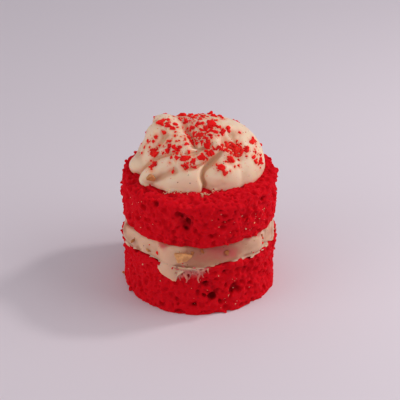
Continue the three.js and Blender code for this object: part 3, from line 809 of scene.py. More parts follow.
def filling_field(block, seed):
    """Signed distance to the cream layer, with its thin ragged lip over the lower disc."""
    x, y, z = block.points()
    radius, bearing = np.sqrt(x * x + y * y), bearing_of(x, y)
    wave = block.layered_noise(FILLING_WAVES, seed)
    rag = block.layered_noise(LIP_RAGS, seed + len(FILLING_WAVES))
    outer = smoothstep(radius, FILLING.reach - LIP.start, FILLING.reach - LIP.end)
    lip = lerp(FILLING.bare_low, edge_at(bearing), outer)
    full = filling_reach(bearing, z, wave)
    top = FILLING.bare_low + LIP.rise
    thin = BOTTOM_DISC.rim + LIP.thick + DROOP.thick * droop_share(bearing)
    grown = np.clip((z - lip) / (top - lip), 0, 1) ** LIP.power
    reach = np.where(z < top, lerp(thin, full, grown), full)
    field = smooth_max(radius - reach, lip + rag * outer - z, LIP.round)
    return smooth_max(field, z - FILLING.high, FILLING.top_round).astype(np.float32)


def paint_cream(piece, block, field, strength, patches=0.0):
    """Stores how far each point lies in a crease, for the warmer, darker cream painted there as
    shade.
    Patches adds random warm blotches of the cream's own tone and painted shade in the recess under
    the upper disc, and takes the painted shade off the droop."""
    points = points_of(piece)
    near = block.nearby(field, points, CREAM_CREASE_SHADE)
    blotch = block.read(block.noise(BLOTCH_SIZE, SEEDS.blotch), points)
    bearing = bearing_of(points[:, 0], points[:, 1])
    hanging = droop_share(bearing)
    # Random blotches of the cream's own tone, painted shade in the recess under the upper disc, and
    # less painted shade on the droop.
    shade_and_blotch = np.maximum(blotch, 0) * (1 - hanging) + recess_share(bearing) - DROOP.pale * hanging
    paint(piece, "cavity", 0.5 + strength * near - patches * shade_and_blotch)


def filling_stain(block, points):
    """How red the filling is at points: streaked by the sponge above and below it, and soaked in the
    recess, darker up towards the upper disc, partly as painted shade."""
    x, y, z = points.T
    streaks = sum(
        height * block.read(block.noise(size, SEEDS.streaks + index), points)
        for index, (size, height) in enumerate(STAIN.streaks)
    )
    under = smoothstep(z, TOP_LOW + STAIN.under[0], TOP_LOW + STAIN.under[1])
    side = side_radius(BOTTOM_DISC, z)
    skin = smoothstep(np.hypot(x, y), side + STAIN.skin[0], side + STAIN.skin[1])
    lower = skin * smoothstep(z, BOTTOM_HIGH + STAIN.lower[0], BOTTOM_HIGH + STAIN.lower[1])
    edges = np.maximum(STAIN.under_share * under, STAIN.lower_share * lower)
    stain = edges * (STAIN.even + streaks) + STAIN.streaked * (streaks - STAIN.clean)
    upper = smoothstep(z, *RECESS.soak_and_shade_heights)
    soaked_and_shaded = recess_share(bearing_of(x, y)) * lerp(*RECESS.soak_and_shade, upper)
    return np.maximum(stain, 0) + soaked_and_shaded * (1.0 + STAIN.soaked_and_shaded * streaks)


def build_filling(settings):
    """The cream layer between the discs."""
    reach = FILLING.reach + FILLING.margin
    block = Block((-reach, -reach, FILLING.low), (reach, reach, FILLING.high + 1.0), settings.cell)
    field = filling_field(block, SEEDS.filling)
    piece = new_mesh("filling_cream", *surface_of(block, field))
    thin_out(piece, settings.triangles)
    # Painted shade: warmer, darker cream in the creases and in the recess under the upper disc.
    paint_cream(piece, block, field, FILLING.cavity, FILLING.patches)
    paint(piece, "stain", filling_stain(block, points_of(piece)))
    return finish_piece(piece, "spread_cream", "filling")


def smear_field(block, seed):
    """A thin torn film of cream on the lower sponge's front, with strands drawn down from it."""
    x, y, z = block.points()
    bearing = bearing_of(x, y) % TURN
    proud = np.sqrt(x * x + y * y) - side_radius(BOTTOM_DISC, z) - SMEAR.proud
    above = z - np.interp(bearing, *np.array(SMEAR_EDGE).T)
    tear = block.layered_noise(SMEAR.tears, seed)
    grown = SMEAR.thick * smoothstep(above + SMEAR.torn * tear, 0.0, SMEAR.grow)
    thick = grown - SMEAR.thin + SMEAR.ragged * tear
    slope, start = SMEAR.edge
    thick = np.minimum(np.minimum(thick, slope * above + start), SMEAR.top * (BOTTOM_HIGH - z))
    field = np.abs(proud) - thick
    for row in STRANDS:
        field = smooth_min(field, strand_distance(row, bearing, proud, z), SMEAR.blend)
    size, height = SMEAR.ripple
    return (field + height * block.noise(size, seed + len(SMEAR.tears))).astype(np.float32)


def strand_distance(row, bearing, proud, height):
    """Signed distance to a strand that sways and thins out downwards."""
    middle, top, foot, width = row
    drop = np.clip((top - height) / (top - foot), 0, 1)
    sway = STRAND.sway * np.sin(middle + STRAND.bends * height)
    across = np.radians(bearing - middle) * BOTTOM_DISC.rim + sway
    past = np.maximum(np.maximum(foot - height, height - top), 0)
    reach = np.sqrt(across**2 + (STRAND.flat * proud) ** 2 + past**2)
    return reach - width * lerp(STRAND.top, STRAND.foot, drop)


def build_smear(settings):
    """The torn film and strands of cream on the lower disc, redder where they lie flat on it."""
    block = Block(*SMEAR.box, settings.cell * SMEAR.cell_share)
    field = smear_field(block, SEEDS.smear)
    piece = new_mesh("cream_smear", *surface_of(block, field, whole=False))
    thin_out(piece, SMEAR.triangles)
    x, y, z = points_of(piece).T
    proud = np.hypot(x, y) - side_radius(BOTTOM_DISC, z)
    flat = smoothstep(proud, *SMEAR.flat) * smoothstep(z, *SMEAR.red_heights)
    paint(piece, "stain", lerp(SMEAR.stain, SMEAR.red_stain, flat))
    paint(piece, "cavity", SMEAR.cavity)
    return finish_piece(piece, "spread_cream")


# ---- Form of the swirl ----


def dome_share(offset):
    """One on the dome's surface for offsets from its centre, less inside and more outside."""
    length = np.linalg.norm(offset, axis=-1) + TINY
    unit = offset / length[..., None] * DOME.front
    x, y, z = unit[..., 0], unit[..., 1], unit[..., 2]
    width = np.where(x < 0, DOME.left, DOME.right)
    depth = np.where(y < 0, DOME.front, DOME.back)
    total = np.abs(x / width) ** DOME.power_x + np.abs(y / depth) ** DOME.power_y
    total = total + np.abs(z / (DOME.top - DOME.tilt * x)) ** DOME.power_z
    return total ** (1 / DOME.power_z) * length / DOME.front


def on_dome(bearing, rise):
    """Places on the dome's surface, in millimetres."""
    offset = direction_at(bearing, rise) * DOME.front
    return offset / dome_share(offset)[..., None] + np.array(DOME.centre)


def spline(points, steps):
    """Evenly spaced places along a smooth line through points."""
    points = np.array(points, float)
    place = np.linspace(0, len(points) - 1, steps + 1)
    start = np.minimum(place.astype(int), len(points) - 2)
    t = (place - start)[:, None]
    a, b = points[start], points[start + 1]
    before, after = points[np.maximum(start - 1, 0)], points[np.minimum(start + 2, len(points) - 1)]
    slope_a, slope_b = (b - before) / 2, (after - a) / 2
    return ((2 * a - 2 * b + slope_a + slope_b) * t**3
            + (3 * b - 3 * a - 2 * slope_a - slope_b) * t**2 + slope_a * t + a)


def crease_depth(row, places, outward):
    """Depth of one crease at places on the dome, given with the directions that lead out there."""
    line = on_dome(*spline(row.points, CREASE_STEPS).T)
    shape = places.shape[:-1]
    nearest, width, along = np.full(shape, np.inf), np.zeros(shape), np.zeros(shape)
    for step, (a, b) in enumerate(zip(line[:-1], line[1:])):
        run = b - a
        share = np.clip((places - a) @ run / (run @ run), 0, 1)
        offset = places - a - share[..., None] * run
        distance = (offset**2).sum(-1)
        closer = distance < nearest
        upper = (offset * np.cross(outward, run)).sum(-1) > 0
        nearest = np.where(closer, distance, nearest)
        width = np.where(closer, np.where(upper, row.above, row.below), width)
        along = np.where(closer, (step + share) / CREASE_STEPS, along)
    fade = smoothstep(along, 0, row.fade_in) * smoothstep(1 - along, 0, row.fade_out)
    return row.deep * fade * np.exp(-((np.sqrt(nearest) / width) ** row.power))


def crease_map(bearings, rises):
    """Depth of all the creases over a chart of the dome, by bearing and rise."""
    outward = direction_at(bearings[:, None], rises[None, :])
    places = on_dome(bearings[:, None], rises[None, :])
    return sum(crease_depth(row, places, outward) for row in CREASES).astype(np.float32)


def read_chart(chart, across, up):
    """Values of a chart between its points, at places counted in its steps."""
    across = np.clip(across, 0, chart.shape[0] - LAST_CELL)
    up = np.clip(up, 0, chart.shape[1] - LAST_CELL)
    i, j = across.astype(int), up.astype(int)
    a, b = across - i, up - j
    lower = lerp(chart[i, j], chart[i + 1, j], a)
    upper = lerp(chart[i, j + 1], chart[i + 1, j + 1], a)
    return lerp(lower, upper, b)


def press_creases(field, offset):
    """Presses the creases into the dome's field near its surface."""
    step = CHART.step
    chart = crease_map(
        np.arange(-TURN / 2, TURN / 2 + step, step), np.arange(CHART.low, CHART.high + step, step)
    )
    near = np.abs(field) < CHART.reach
    close = offset[near]
    close = close / (np.linalg.norm(close, axis=-1) + TINY)[:, None]
    across = (bearing_of(close[:, 0], close[:, 1]) + TURN / 2) / step
    up = (np.degrees(np.arcsin(np.clip(close[:, 2], -1, 1))) - CHART.low) / step
    field[near] += read_chart(chart, across, up)


def spread_foot_bits(block, field, rng):
    """Adds the flat bits of cream that spread from the swirl's foot."""
    for bearing, reach, size in FOOT_BITS:
        place = direction_at(bearing, 0) * reach + np.array((0, 0, TOP_HIGH - FOOT_BIT.sink))
        cut, offsets = block.around(place, FOOT_BIT.room * size)
        radii = size * np.array(FOOT_BIT.radii) * rng.uniform(*FOOT_BIT.stretch, 3)
        angle = math.radians(bearing + rng.uniform(*FOOT_BIT.turn))
        turn = np.array([(math.cos(angle), math.sin(angle), 0),
                         (-math.sin(angle), math.cos(angle), 0), (0, 0, 1)])
        field[cut] = smooth_min(field[cut], ball_distance(offsets, radii, turn), FOOT_BIT.blend)


def swirl_field(block, seed):
    """Signed distance to the piped swirl: a dome with lobes, creases, a hollow and foot bits."""
    centre = np.array(DOME.centre, np.float32)
    x, y, z = block.points()
    offset = np.stack(np.broadcast_arrays(x - centre[0], y - centre[1], z - centre[2]), -1)
    length = np.linalg.norm(offset, axis=-1) + TINY
    field = (length * (1 - 1 / np.maximum(dome_share(offset), LEAST_SHARE))).astype(np.float32)
    for middle, radii, blend in LOBES:
        field = smooth_min(field, block.ball(middle, radii), blend)
    press_creases(field, offset)
    middle, radii, blend = HOLLOW
    field = smooth_max(field, -block.ball(middle, radii), blend)
    field += block.layered_noise(SWIRL_WAVES, seed)
    spread_foot_bits(block, field, np.random.default_rng(seed))
    return np.maximum(field, TOP_HIGH - SWIRL.sunk - z).astype(np.float32)


def build_swirl(settings):
    """The piped swirl on the upper disc."""
    block = Block((*SWIRL.low, TOP_HIGH - SWIRL.foot_margin), SWIRL.high, settings.cell)
    field = blurred(swirl_field(block, SEEDS.swirl), 1)
    piece = new_mesh("swirl_cream", *surface_of(block, field))
    thin_out(piece, settings.triangles)
    # Painted shade: warmer, darker cream in the swirl's creases.
    paint_cream(piece, block, field, SWIRL.cavity)
    return finish_piece(piece, "piped_cream", "frosting")


# ---- Crumbs, nuts and specks ----


def unit_ball(divisions):
    """Points and triangles of a ball of radius one."""
    mesh = bmesh.new()
    bmesh.ops.create_icosphere(mesh, subdivisions=divisions, radius=1.0)
    points = np.array([vertex.co for vertex in mesh.verts])
    faces = np.array([[vertex.index for vertex in face.verts] for face in mesh.faces])
    mesh.free()
    return points, faces


def chip(ball, size, rng, shape, jitter, lumps):
    """Points of an uneven lump with a few flat breaks, made from a ball's points."""
    points = ball * (1 + jitter * rng.uniform(-1, 1, (len(ball), 1)))
    for _ in range(CHIP.lumps):
        wave = ball @ rng.normal(0, CHIP.waves, 3) + rng.uniform(0, math.tau)
        points = points * (1 + lumps * np.sin(wave)[:, None])
    for _ in range(CHIP.breaks):
        normal = rng.normal(size=3)
        normal /= np.linalg.norm(normal)
        over = np.maximum(points @ normal - rng.uniform(*CHIP.break_at), 0)
        points = points - over[:, None] * normal
    stretch = rng.uniform(*CHIP.stretch, 3)
    return (points * np.array(shape) * stretch) @ random_turn(rng) * size / CHIP.width


def join_chips(name, spots, divisions, rng, shapes=None, jitter=0.16, lumps=0.13):
    """One mesh of many chips, from places and sizes in millimetres."""
    ball, faces = unit_ball(divisions)
    shapes = shapes or [(1.0, 1.0, 1.0)] * len(spots)
    points = [chip(ball, size, rng, shape, jitter, lumps) + place
              for (place, size), shape in zip(spots, shapes)]
    joined = np.concatenate([faces + len(ball) * index for index in range(len(spots))])
    return new_mesh(name, np.concatenate(points), joined)


def surface_tree(name):
    """A piece's surface, for finding where lines meet it."""
    return BVHTree.FromObject(bpy.data.objects[name], bpy.context.evaluated_depsgraph_get())


def landed(tree, starts, directions, sizes, lift, lowest=-math.inf):
    """Places and sizes of the bits that land on a surface along lines and not below a height,
    lifted off it by a share of each size."""
    spots = []
    for start, direction, size in zip(starts, directions, sizes):
        place, normal, _, _ = tree.ray_cast(Vector(start) * MM, Vector(direction))
        if place is not None and place.z / MM > lowest:
            spots.append((np.array(place) / MM + np.array(normal) * size * lift, size))
    return spots


def spots_on_swirl(tree, directions, sizes, lift):
    """Spots of bits that land on the swirl from directions round its centre."""
    starts = np.array(DOME.centre) + FAR_OUT * directions
    return landed(tree, starts, -directions, sizes, lift, TOP_HIGH)


def spots_on_side(tree, bearings, heights, sizes, lift):
    """Spots of bits that land on a side along lines towards the cake's axis."""
    outward = direction_at(bearings, 0)
    starts = FAR_OUT * outward
    starts[:, 2] = heights
    return landed(tree, starts, -outward, sizes, lift)


def spots_on_top(tree, places, sizes, lift):
    """Spots of bits that land on a piece from straight above."""
    down = np.array((0.0, 0.0, -1.0))
    return landed(tree, places - ABOVE * down, [down] * len(places), sizes, lift)


def patch_directions(rng, widen, share):
    """Random directions that gather in the crumb patches."""
    rows = []
    for bearing, rise, spread, count in CRUMB_PATCHES:
        number = max(int(count * share), 1)
        scatter = math.radians(spread * widen) * PATCH_SCATTER * rng.normal(size=(number, 3))
        rows.append(direction_at(bearing, rise) + scatter)
    rows = np.concatenate(rows)
    return rows / np.linalg.norm(rows, axis=1)[:, None]


def even_directions(rng, count):
    """Random directions all over the swirl, fewer near its foot and none in the bare patches."""
    rise = lerp(*EVEN_CRUMBS.rises, rng.random(count) ** EVEN_CRUMBS.power)
    rows = direction_at(rng.uniform(0, TURN, count), rise)
    for bearing, height, spread in BARE_PATCHES:
        apart = rows @ direction_at(bearing, height)
        rows = rows[apart < math.cos(math.radians(spread))]
    return rows


def random_sizes(rng, kind, count):
    """Random sizes of one kind of bit, with the large ones rarer."""
    return lerp(kind.low, kind.high, rng.random(count) ** kind.rarity)


def large_crumbs(swirl):
    """Spots of the largest crumbs, each at its own place."""
    bearings, rises, sizes = np.array(LARGE_CRUMBS).T
    directions = direction_at(bearings, rises)
    return spots_on_swirl(swirl, directions, LARGE_CRUMB.grow * sizes, LARGE_CRUMB.lift)


def strewn_crumbs(swirl, rng, kind):
    """Spots of one kind of crumb that is strewn over the swirl."""
    patches = patch_directions(rng, kind.widen, kind.share)
    directions = np.concatenate([patches, even_directions(rng, kind.even)])
    return spots_on_swirl(swirl, directions, random_sizes(rng, kind, len(directions)), kind.lift)


def pressed_crumbs(filling, rng):
    """Spots of the few crumbs in the filling's side."""
    rule = PRESSED_CRUMBS
    bearings = rng.uniform(0, TURN, rule.count)
    heights, sizes = rng.uniform(*rule.heights, rule.count), rng.uniform(*rule.sizes, rule.count)
    spots = spots_on_side(filling, bearings, heights, sizes, BIT_LIFT)
    bearing, height, size = rule.largest
    return spots + spots_on_side(filling, [bearing], [height], [size], BIT_LIFT)


def build_crumbs():
    """The loose red crumbs on the swirl, in three sizes, and those pressed into the filling."""
    swirl, filling = surface_tree("swirl_cream"), surface_tree("filling_cream")
    rng = np.random.default_rng(SEEDS.crumbs)
    large = large_crumbs(swirl)
    pieces = [join_chips("red_crumbs_large", large, 3, rng)]
    small = strewn_crumbs(swirl, rng, SMALL_CRUMBS)
    pressed = pressed_crumbs(filling, rng)
    pieces.append(join_chips("red_crumbs_small", small + pressed, 2, rng))
    dust = strewn_crumbs(swirl, rng, CRUMB_DUST)
    pieces.append(join_chips("red_crumb_dust", dust, 1, rng))
    for piece in pieces:
        paint(piece, "cavity", LOOSE_CRUMB_SHADE)
        finish_piece(piece, "red_crumb")
    stain_swirl(large + small)


def stain_swirl(spots):
    """Tints the cream close round the crumbs, where their colour bleeds, and at its foot."""
    tree = KDTree(len(spots))
    for index, (place, _) in enumerate(spots):
        tree.insert(place, index)
    tree.balance()
    swirl = bpy.data.objects["swirl_cream"]
    points = points_of(swirl)
    bled = []
    for point in points:
        _, index, distance = tree.find(point)
        reach = BLEED.grow * spots[index][1] + BLEED.reach
        bled.append(math.exp(-((distance / reach) ** 2)))
    foot = smoothstep(points[:, 2], TOP_HIGH + BLEED.foot_height, TOP_HIGH)
    paint(swirl, "stain", np.maximum(BLEED.strength * np.array(bled), BLEED.foot * foot))


def nut_row(bearing, height, radius, size, shape, skin):
    """Place, size, shape and skin of a nut piece given by its bearing, height and radius."""
    return direction_at(bearing, 0) * radius + np.array((0, 0, height)), size, shape, skin


def build_nuts():
    """Nut pieces in the filling, at the swirl's foot and one bit at the cake's foot."""
    rows = [nut_row(*row) for row in NUTS] + [SWIRL_NUT, nut_row(*CAKE_FOOT_NUT)]
    places, sizes, shapes, skins = zip(*rows)
    rng = np.random.default_rng(SEEDS.nuts)
    spots = list(zip(places, sizes))
    piece = join_chips("nut_pieces", spots, 4, rng, shapes, NUT_CHIP.jitter, NUT_CHIP.lumps)
    paint(piece, "skin", np.repeat(skins, len(piece.data.vertices) // len(skins)))
    finish_piece(piece, "nut")


def cream_flecks(trees, rng):
    """Spots of the flecks of cream on the sides of the sponge discs."""
    spots = []
    for disc, bearing, spread, low, high, count in CREAM_FLECKS:
        bearings, heights = rng.normal(bearing, spread, count), rng.uniform(low, high, count)
        sizes = random_sizes(rng, FLECK, count)
        spots += spots_on_side(trees[disc], bearings, heights, sizes, BIT_LIFT)
    return spots


def foot_scraps(tree, rng):
    """Spots of the scraps of cream on the upper disc, just outside the flat bits."""
    bits = np.repeat(np.array(FOOT_BITS), FOOT_SCRAP.each, axis=0)
    reach = bits[:, 1] + rng.uniform(*FOOT_SCRAP.outward, len(bits))
    bearings = bits[:, 0] + rng.normal(0, FOOT_SCRAP.spread, len(bits))
    places = direction_at(bearings, 0) * reach[:, None]
    places[:, 2] = TOP_HIGH
    return spots_on_top(tree, places, random_sizes(rng, FOOT_SCRAP, len(bits)), BIT_LIFT)


def build_cream_bits(rng):
    """Bits of cream on the sides of the sponge and at the swirl's foot."""
    trees = {"top": surface_tree("sponge_crumb_top"), "bottom": surface_tree("sponge_crumb_bottom")}
    spots = cream_flecks(trees, rng) + foot_scraps(trees["top"], rng)
    piece = join_chips("cream_bits", spots, 2, rng, jitter=CREAM_BIT.jitter)
    # An even painted shade, a little darker than the plain level.
    paint(piece, "cavity", CREAM_BIT.cavity)
    paint(piece, "stain", CREAM_BIT.stain)
    finish_piece(piece, "piped_cream")


def build_specks(rng):
    """Dark specks in the swirl and the filling."""
    swirl, filling = surface_tree("swirl_cream"), surface_tree("filling_cream")
    count = SWIRL_SPECKS.count
    directions = direction_at(
        rng.uniform(0, TURN, count), lerp(*SWIRL_SPECKS.rises, rng.random(count))
    )
    sizes = rng.uniform(*SWIRL_SPECKS.sizes, count)
    spots = spots_on_swirl(swirl, directions, sizes, BIT_LIFT)
    bearings, rises, sizes = np.array(SWIRL_SPECKS.largest).T
    spots += spots_on_swirl(swirl, direction_at(bearings, rises), sizes, BIT_LIFT)
    count = FILLING_SPECKS.count
    bearings = rng.uniform(0, TURN, count)
    heights = rng.uniform(*FILLING_SPECKS.heights, count)
    sizes = rng.uniform(*FILLING_SPECKS.sizes, count)
    spots += spots_on_side(filling, bearings, heights, sizes, BIT_LIFT)
    finish_piece(join_chips("spice_specks", spots, 1, rng), "spice_speck")


def build_bits():
    """The bits of cream and the dark specks."""
    rng = np.random.default_rng(SEEDS.bits)
    build_cream_bits(rng)
    build_specks(rng)


# ---- Materials ----


def put(tree, kind, inputs=(), **options):
    """Adds a node, sets its options and fills its inputs with values or links."""
    node = tree.nodes.new(kind)
    for key, value in options.items():
        setattr(node, key, value)
    for socket, value in dict(inputs).items():
        target = node.inputs[socket]
        if isinstance(value, bpy.types.NodeSocket):
            tree.links.new(value, target)
        else:
            target.default_value = value
    return node


def mixed(tree, factor, first, second):
    """A colour between two colours."""
    node = put(tree, "ShaderNodeMix", {0: factor, 6: first, 7: second}, data_type="RGBA")
    return node.outputs[2]


def figured(tree, operation, *values, clamp=False):
    """The result of a Math node."""
    node = put(tree, "ShaderNodeMath", dict(enumerate(values)), operation=operation)
    node.use_clamp = clamp
    return node.outputs[0]


def wavered(tree, value, noise, strength):
    """A value that a noise raises and lowers by up to half a strength."""
    return figured(tree, "MULTIPLY_ADD", figured(tree, "SUBTRACT", noise, 0.5), strength, value)


def ranged(tree, value, low, high, bottom=0.0, top=1.0):
    """A value mapped smoothly from one range to another."""
    inputs = {"Value": value, "From Min": low, "From Max": high, "To Min": bottom, "To Max": top}
    return put(tree, "ShaderNodeMapRange", inputs, interpolation_type="SMOOTHSTEP").outputs[0]


def clouds(tree, size, detail=3.0, roughness=0.55):
    """Noise whose lumps are size metres across, in the frame's own places."""
    place = put(tree, "ShaderNodeTexCoord").outputs["Object"]
    inputs = {"Vector": place, "Scale": 0.8 / size, "Detail": detail, "Roughness": roughness}
    return put(tree, "ShaderNodeTexNoise", inputs).outputs[0]


def new_group(name, inputs, outputs):
    """A shader node group with named sockets. Returns its tree and its two end nodes."""
    group = bpy.data.node_groups.new(name, "ShaderNodeTree")
    for label, value in inputs.items():
        kind = "NodeSocketColor" if isinstance(value, tuple) else "NodeSocketFloat"
        group.interface.new_socket(label, in_out="INPUT", socket_type=kind).default_value = value
    for label, kind in outputs.items():
        group.interface.new_socket(label, in_out="OUTPUT", socket_type="NodeSocket" + kind)
    return group, group.nodes.new("NodeGroupInput"), group.nodes.new("NodeGroupOutput")


def crumb_finish():
    """Colour, roughness and fine relief of open cake crumb: painted shade in its pits and holes, red
    body, lighter tips.
    """
    red = (0.5, 0.01, 0.01, 1.0)
    tree, given, made = new_group(
        "crumb_finish",
        {"Deep": red, "Pit": red, "Body": red, "Tip": red, "Film": red, "Cavity": 0.5,
         "Hollow": 0.0, "Smear": 0.0},
        {"Color": "Color", "Roughness": "Float", "Height": "Float"},
    )
    coarse, fine = clouds(tree, 0.0022, 4.0, 0.62), clouds(tree, 0.00045, 3.0, 0.6)
    wide = clouds(tree, 0.007, 2.0)
    # Painted shade: the pore shade colour where the crumb is sunk and the hole shade colour deep in
    # its holes, both varied by noise.
    level = wavered(tree, wavered(tree, given.outputs["Cavity"], fine, 0.25), coarse, 0.7)
    shade = wavered(tree, level, wide, 0.5)
    raised = ranged(tree, shade, 0.10, 0.50)
    color = mixed(tree, raised, given.outputs["Pit"], given.outputs["Body"])
    deep = ranged(tree, given.outputs["Hollow"], 0.25, 1.0)
    color = mixed(tree, deep, color, given.outputs["Deep"])
    color = mixed(tree, ranged(tree, shade, 0.58, 0.98), color, given.outputs["Tip"])
    caught = ranged(tree, figured(tree, "MULTIPLY_ADD", wide, 0.6, level), 0.6, 1.0, 0.15, 0.95)
    cover = figured(tree, "MULTIPLY", given.outputs["Smear"], caught)
    color = mixed(tree, cover, color, given.outputs["Film"])
    tree.links.new(color, made.inputs["Color"])
    tree.links.new(ranged(tree, fine, 0.3, 0.75, 0.95, 0.62), made.inputs["Roughness"])
    height = figured(tree, "MULTIPLY_ADD", coarse, 0.4, fine)
    tree.links.new(height, made.inputs["Height"])
    return tree


def cream_finish():
    """Colour, roughness and fine relief of cream: paler folds, with painted shade as warmer, darker
    cream in the creases, and red stains.
    """
    pale = (0.8, 0.6, 0.5, 1.0)
    tree, given, made = new_group(
        "cream_finish", {"Pale": pale, "Warm": pale, "Red": pale, "Cavity": 0.5, "Stain": 0.0},
        {"Color": "Color", "Roughness": "Float", "Height": "Float"},
    )
    wide, middle = clouds(tree, 0.006, 3.0), clouds(tree, 0.0016, 3.0)
    # Painted shade: the cream goes to the shade warm colour in creases, varied by noise.
    sunk = ranged(tree, wavered(tree, given.outputs["Cavity"], wide, 0.7), 0.62, 0.22)
    color = mixed(tree, sunk, given.outputs["Pale"], given.outputs["Warm"])
    spread = ranged(tree, wavered(tree, given.outputs["Stain"], middle, 0.5), 0.04, 0.9)
    any_stain = ranged(tree, given.outputs["Stain"], 0.0, 0.08)
    stain = figured(tree, "MULTIPLY", spread, any_stain)
    color = mixed(tree, stain, color, given.outputs["Red"])
    tree.links.new(color, made.inputs["Color"])
    tree.links.new(ranged(tree, middle, 0.3, 0.7, 0.40, 0.56), made.inputs["Roughness"])
    pits = ranged(tree, clouds(tree, 0.0005, 1.0), 0.62, 0.74, 1.0, 0.0)
    tree.links.new(figured(tree, "MULTIPLY_ADD", pits, 0.25, middle), made.inputs["Height"])
    return tree


def new_material(name, base, roughness, specular):
    """A material with plain values on its shader, which groups then refine."""
    material = bpy.data.materials.new(name)
    material.use_nodes = True
    tree = material.node_tree
    tree.nodes.clear()
    shader = put(tree, "ShaderNodeBsdfPrincipled", {
        "Base Color": (*base, 1.0), "Roughness": roughness, "Specular IOR Level": specular,
    })
    put(tree, "ShaderNodeOutputMaterial", {"Surface": shader.outputs[0]})
    return tree, shader


def soften(shader, weight, radius, scale):
    """Lets light into the surface."""
    shader.inputs["Subsurface Weight"].default_value = weight
    shader.inputs["Subsurface Radius"].default_value = radius
    shader.inputs["Subsurface Scale"].default_value = scale


def dress(tree, shader, group, inputs, bump, depth):
    """Feeds a finish group into a shader, with its height as bump."""
    finish = put(tree, "ShaderNodeGroup", node_tree=group)
    for label, value in inputs.items():
        if isinstance(value, str):
            value = put(tree, "ShaderNodeAttribute", attribute_name=value).outputs["Fac"]
            tree.links.new(value, finish.inputs[label])
        elif isinstance(value, float):
            finish.inputs[label].default_value = value
        else:
            finish.inputs[label].default_value = (*value, 1.0)
    tree.links.new(finish.outputs["Color"], shader.inputs["Base Color"])
    tree.links.new(finish.outputs["Roughness"], shader.inputs["Roughness"])
    normal = put(tree, "ShaderNodeBump", {
        "Strength": bump, "Distance": depth, "Height": finish.outputs["Height"],
    })
    tree.links.new(normal.outputs[0], shader.inputs["Normal"])


def build_sponge_materials(settings, group):
    """Matt red sponge, and the brighter loose crumbs."""
    for name, hollow, smear in (("red_sponge", "hollow", "smear"), ("red_crumb", 0.0, 0.0)):
        loose = name == "red_crumb"
        body, tip = (settings.crumb, settings.crumb_tip) if loose else (settings.body, settings.tip)
        tree, shader = new_material(name, body, 0.8, 0.06)
        soften(shader, 0.5, (1.0, 0.12, 0.12), 0.0011)
        dress(tree, shader, group, {
            "Deep": settings.deep, "Pit": settings.pore_shade, "Body": body, "Tip": tip,
            "Film": settings.smeared, "Cavity": "cavity", "Hollow": hollow, "Smear": smear,
        }, 0.5, 0.00025)


def build_cream_materials(settings, group):
    """The soft cream of the swirl, and the darker, warmer cream of the filling: partly its own
    colour, partly painted shade where it lies between the discs.
    """
    for name, pale, shade_warm, red in (
        ("piped_cream", settings.pale, settings.shade_warm, settings.stain),
        ("spread_cream", settings.filling_pale_shaded, settings.filling_shade_warm, settings.film),
    ):
        tree, shader = new_material(name, pale, 0.45, 0.4)
        soften(shader, 0.55, (1.0, 0.45, 0.22), 0.0025)
        dress(tree, shader, group, {
            "Pale": pale, "Warm": shade_warm, "Red": red, "Cavity": "cavity",
            "Stain": "stain",
        }, 0.12, 0.0003)


def build_nut_material(settings):
    """Chopped nut, with grained cut faces and brown skin."""
    tree, shader = new_material("nut", settings.nut, 0.5, 0.35)
    soften(shader, 0.3, (1.0, 0.5, 0.25), 0.001)
    grain = ranged(tree, clouds(tree, 0.0012, 4.0), 0.35, 0.65)
    skin = put(tree, "ShaderNodeAttribute", attribute_name="skin").outputs["Fac"]
    share = figured(tree, "MULTIPLY_ADD", grain, 0.5, skin, clamp=True)
    color = mixed(tree, share, (*settings.nut, 1.0), (*settings.nut_skin, 1.0))
    tree.links.new(color, shader.inputs["Base Color"])
    normal = put(tree, "ShaderNodeBump", {"Strength": 0.4, "Distance": 0.0002, "Height": grain})
    tree.links.new(normal.outputs[0], shader.inputs["Normal"])


def build_speck_material(settings):
    """Dark specks of spice."""
    tree, shader = new_material("spice_speck", settings.speck, 0.7, 0.2)
    tint = ranged(tree, clouds(tree, 0.002), 0.4, 0.6)
    color = mixed(tree, tint, (*settings.speck, 1.0), (*settings.nut_skin, 1.0))
    tree.links.new(color, shader.inputs["Base Color"])


# ---- Stage ----


def aim(item, target):
    """Turns a light or camera towards a place."""
    item.rotation_euler = (Vector(target) - item.location).to_track_quat("-Z", "Y").to_euler()


# Name, direction from the cake, distance and width in metres, and colour.
LIGHTS = [
    ("key_light", (32, 9, 40), 0.45, 0.05, (1.0, 0.97, 0.98)),
    ("window_light", (60, -10, 45), 0.42, 0.38, (1.0, 0.97, 0.98)),
    ("fill_light", (-70, -38, 24), 0.50, 0.40, (1.0, 0.97, 0.96)),
]


def build_light(name, towards, distance, size, color, energy):
    """A round soft light that looks at the cake."""
    light = bpy.data.lights.new(name, "AREA")
    light.shape = "DISK"
    light.size = size
    light.energy = energy
    light.color = color
    item = bpy.data.objects.new(name, light)
    bpy.context.scene.collection.objects.link(item)
    item.location = Vector(towards).normalized() * distance
    aim(item, (0, 0, 0))
    return item


def build_floor(settings):
    """The plain pale floor."""
    half = settings.floor_size / 2
    corners = np.array([(-half, -half, 0), (half, -half, 0), (half, half, 0), (-half, half, 0)]) / MM
    floor = new_mesh("floor", corners, np.array([[0, 1, 2, 3]]))
    new_material("floor", settings.floor_color, 0.75, 0.2)
    floor.data.materials.append(bpy.data.materials["floor"])


def build_camera(settings):
    """The camera, straight in front of its target and above it."""
    camera = bpy.data.cameras.new("camera")
    camera.lens = settings.lens
    camera.clip_start = 0.01
    item = bpy.data.objects.new("camera", camera)
    bpy.context.scene.collection.objects.link(item)
    target = Vector(settings.target)
    back = Vector((0, -math.cos(settings.elevation), math.sin(settings.elevation)))
    item.location = target + back * settings.distance
    aim(item, target)
    bpy.context.scene.camera = item


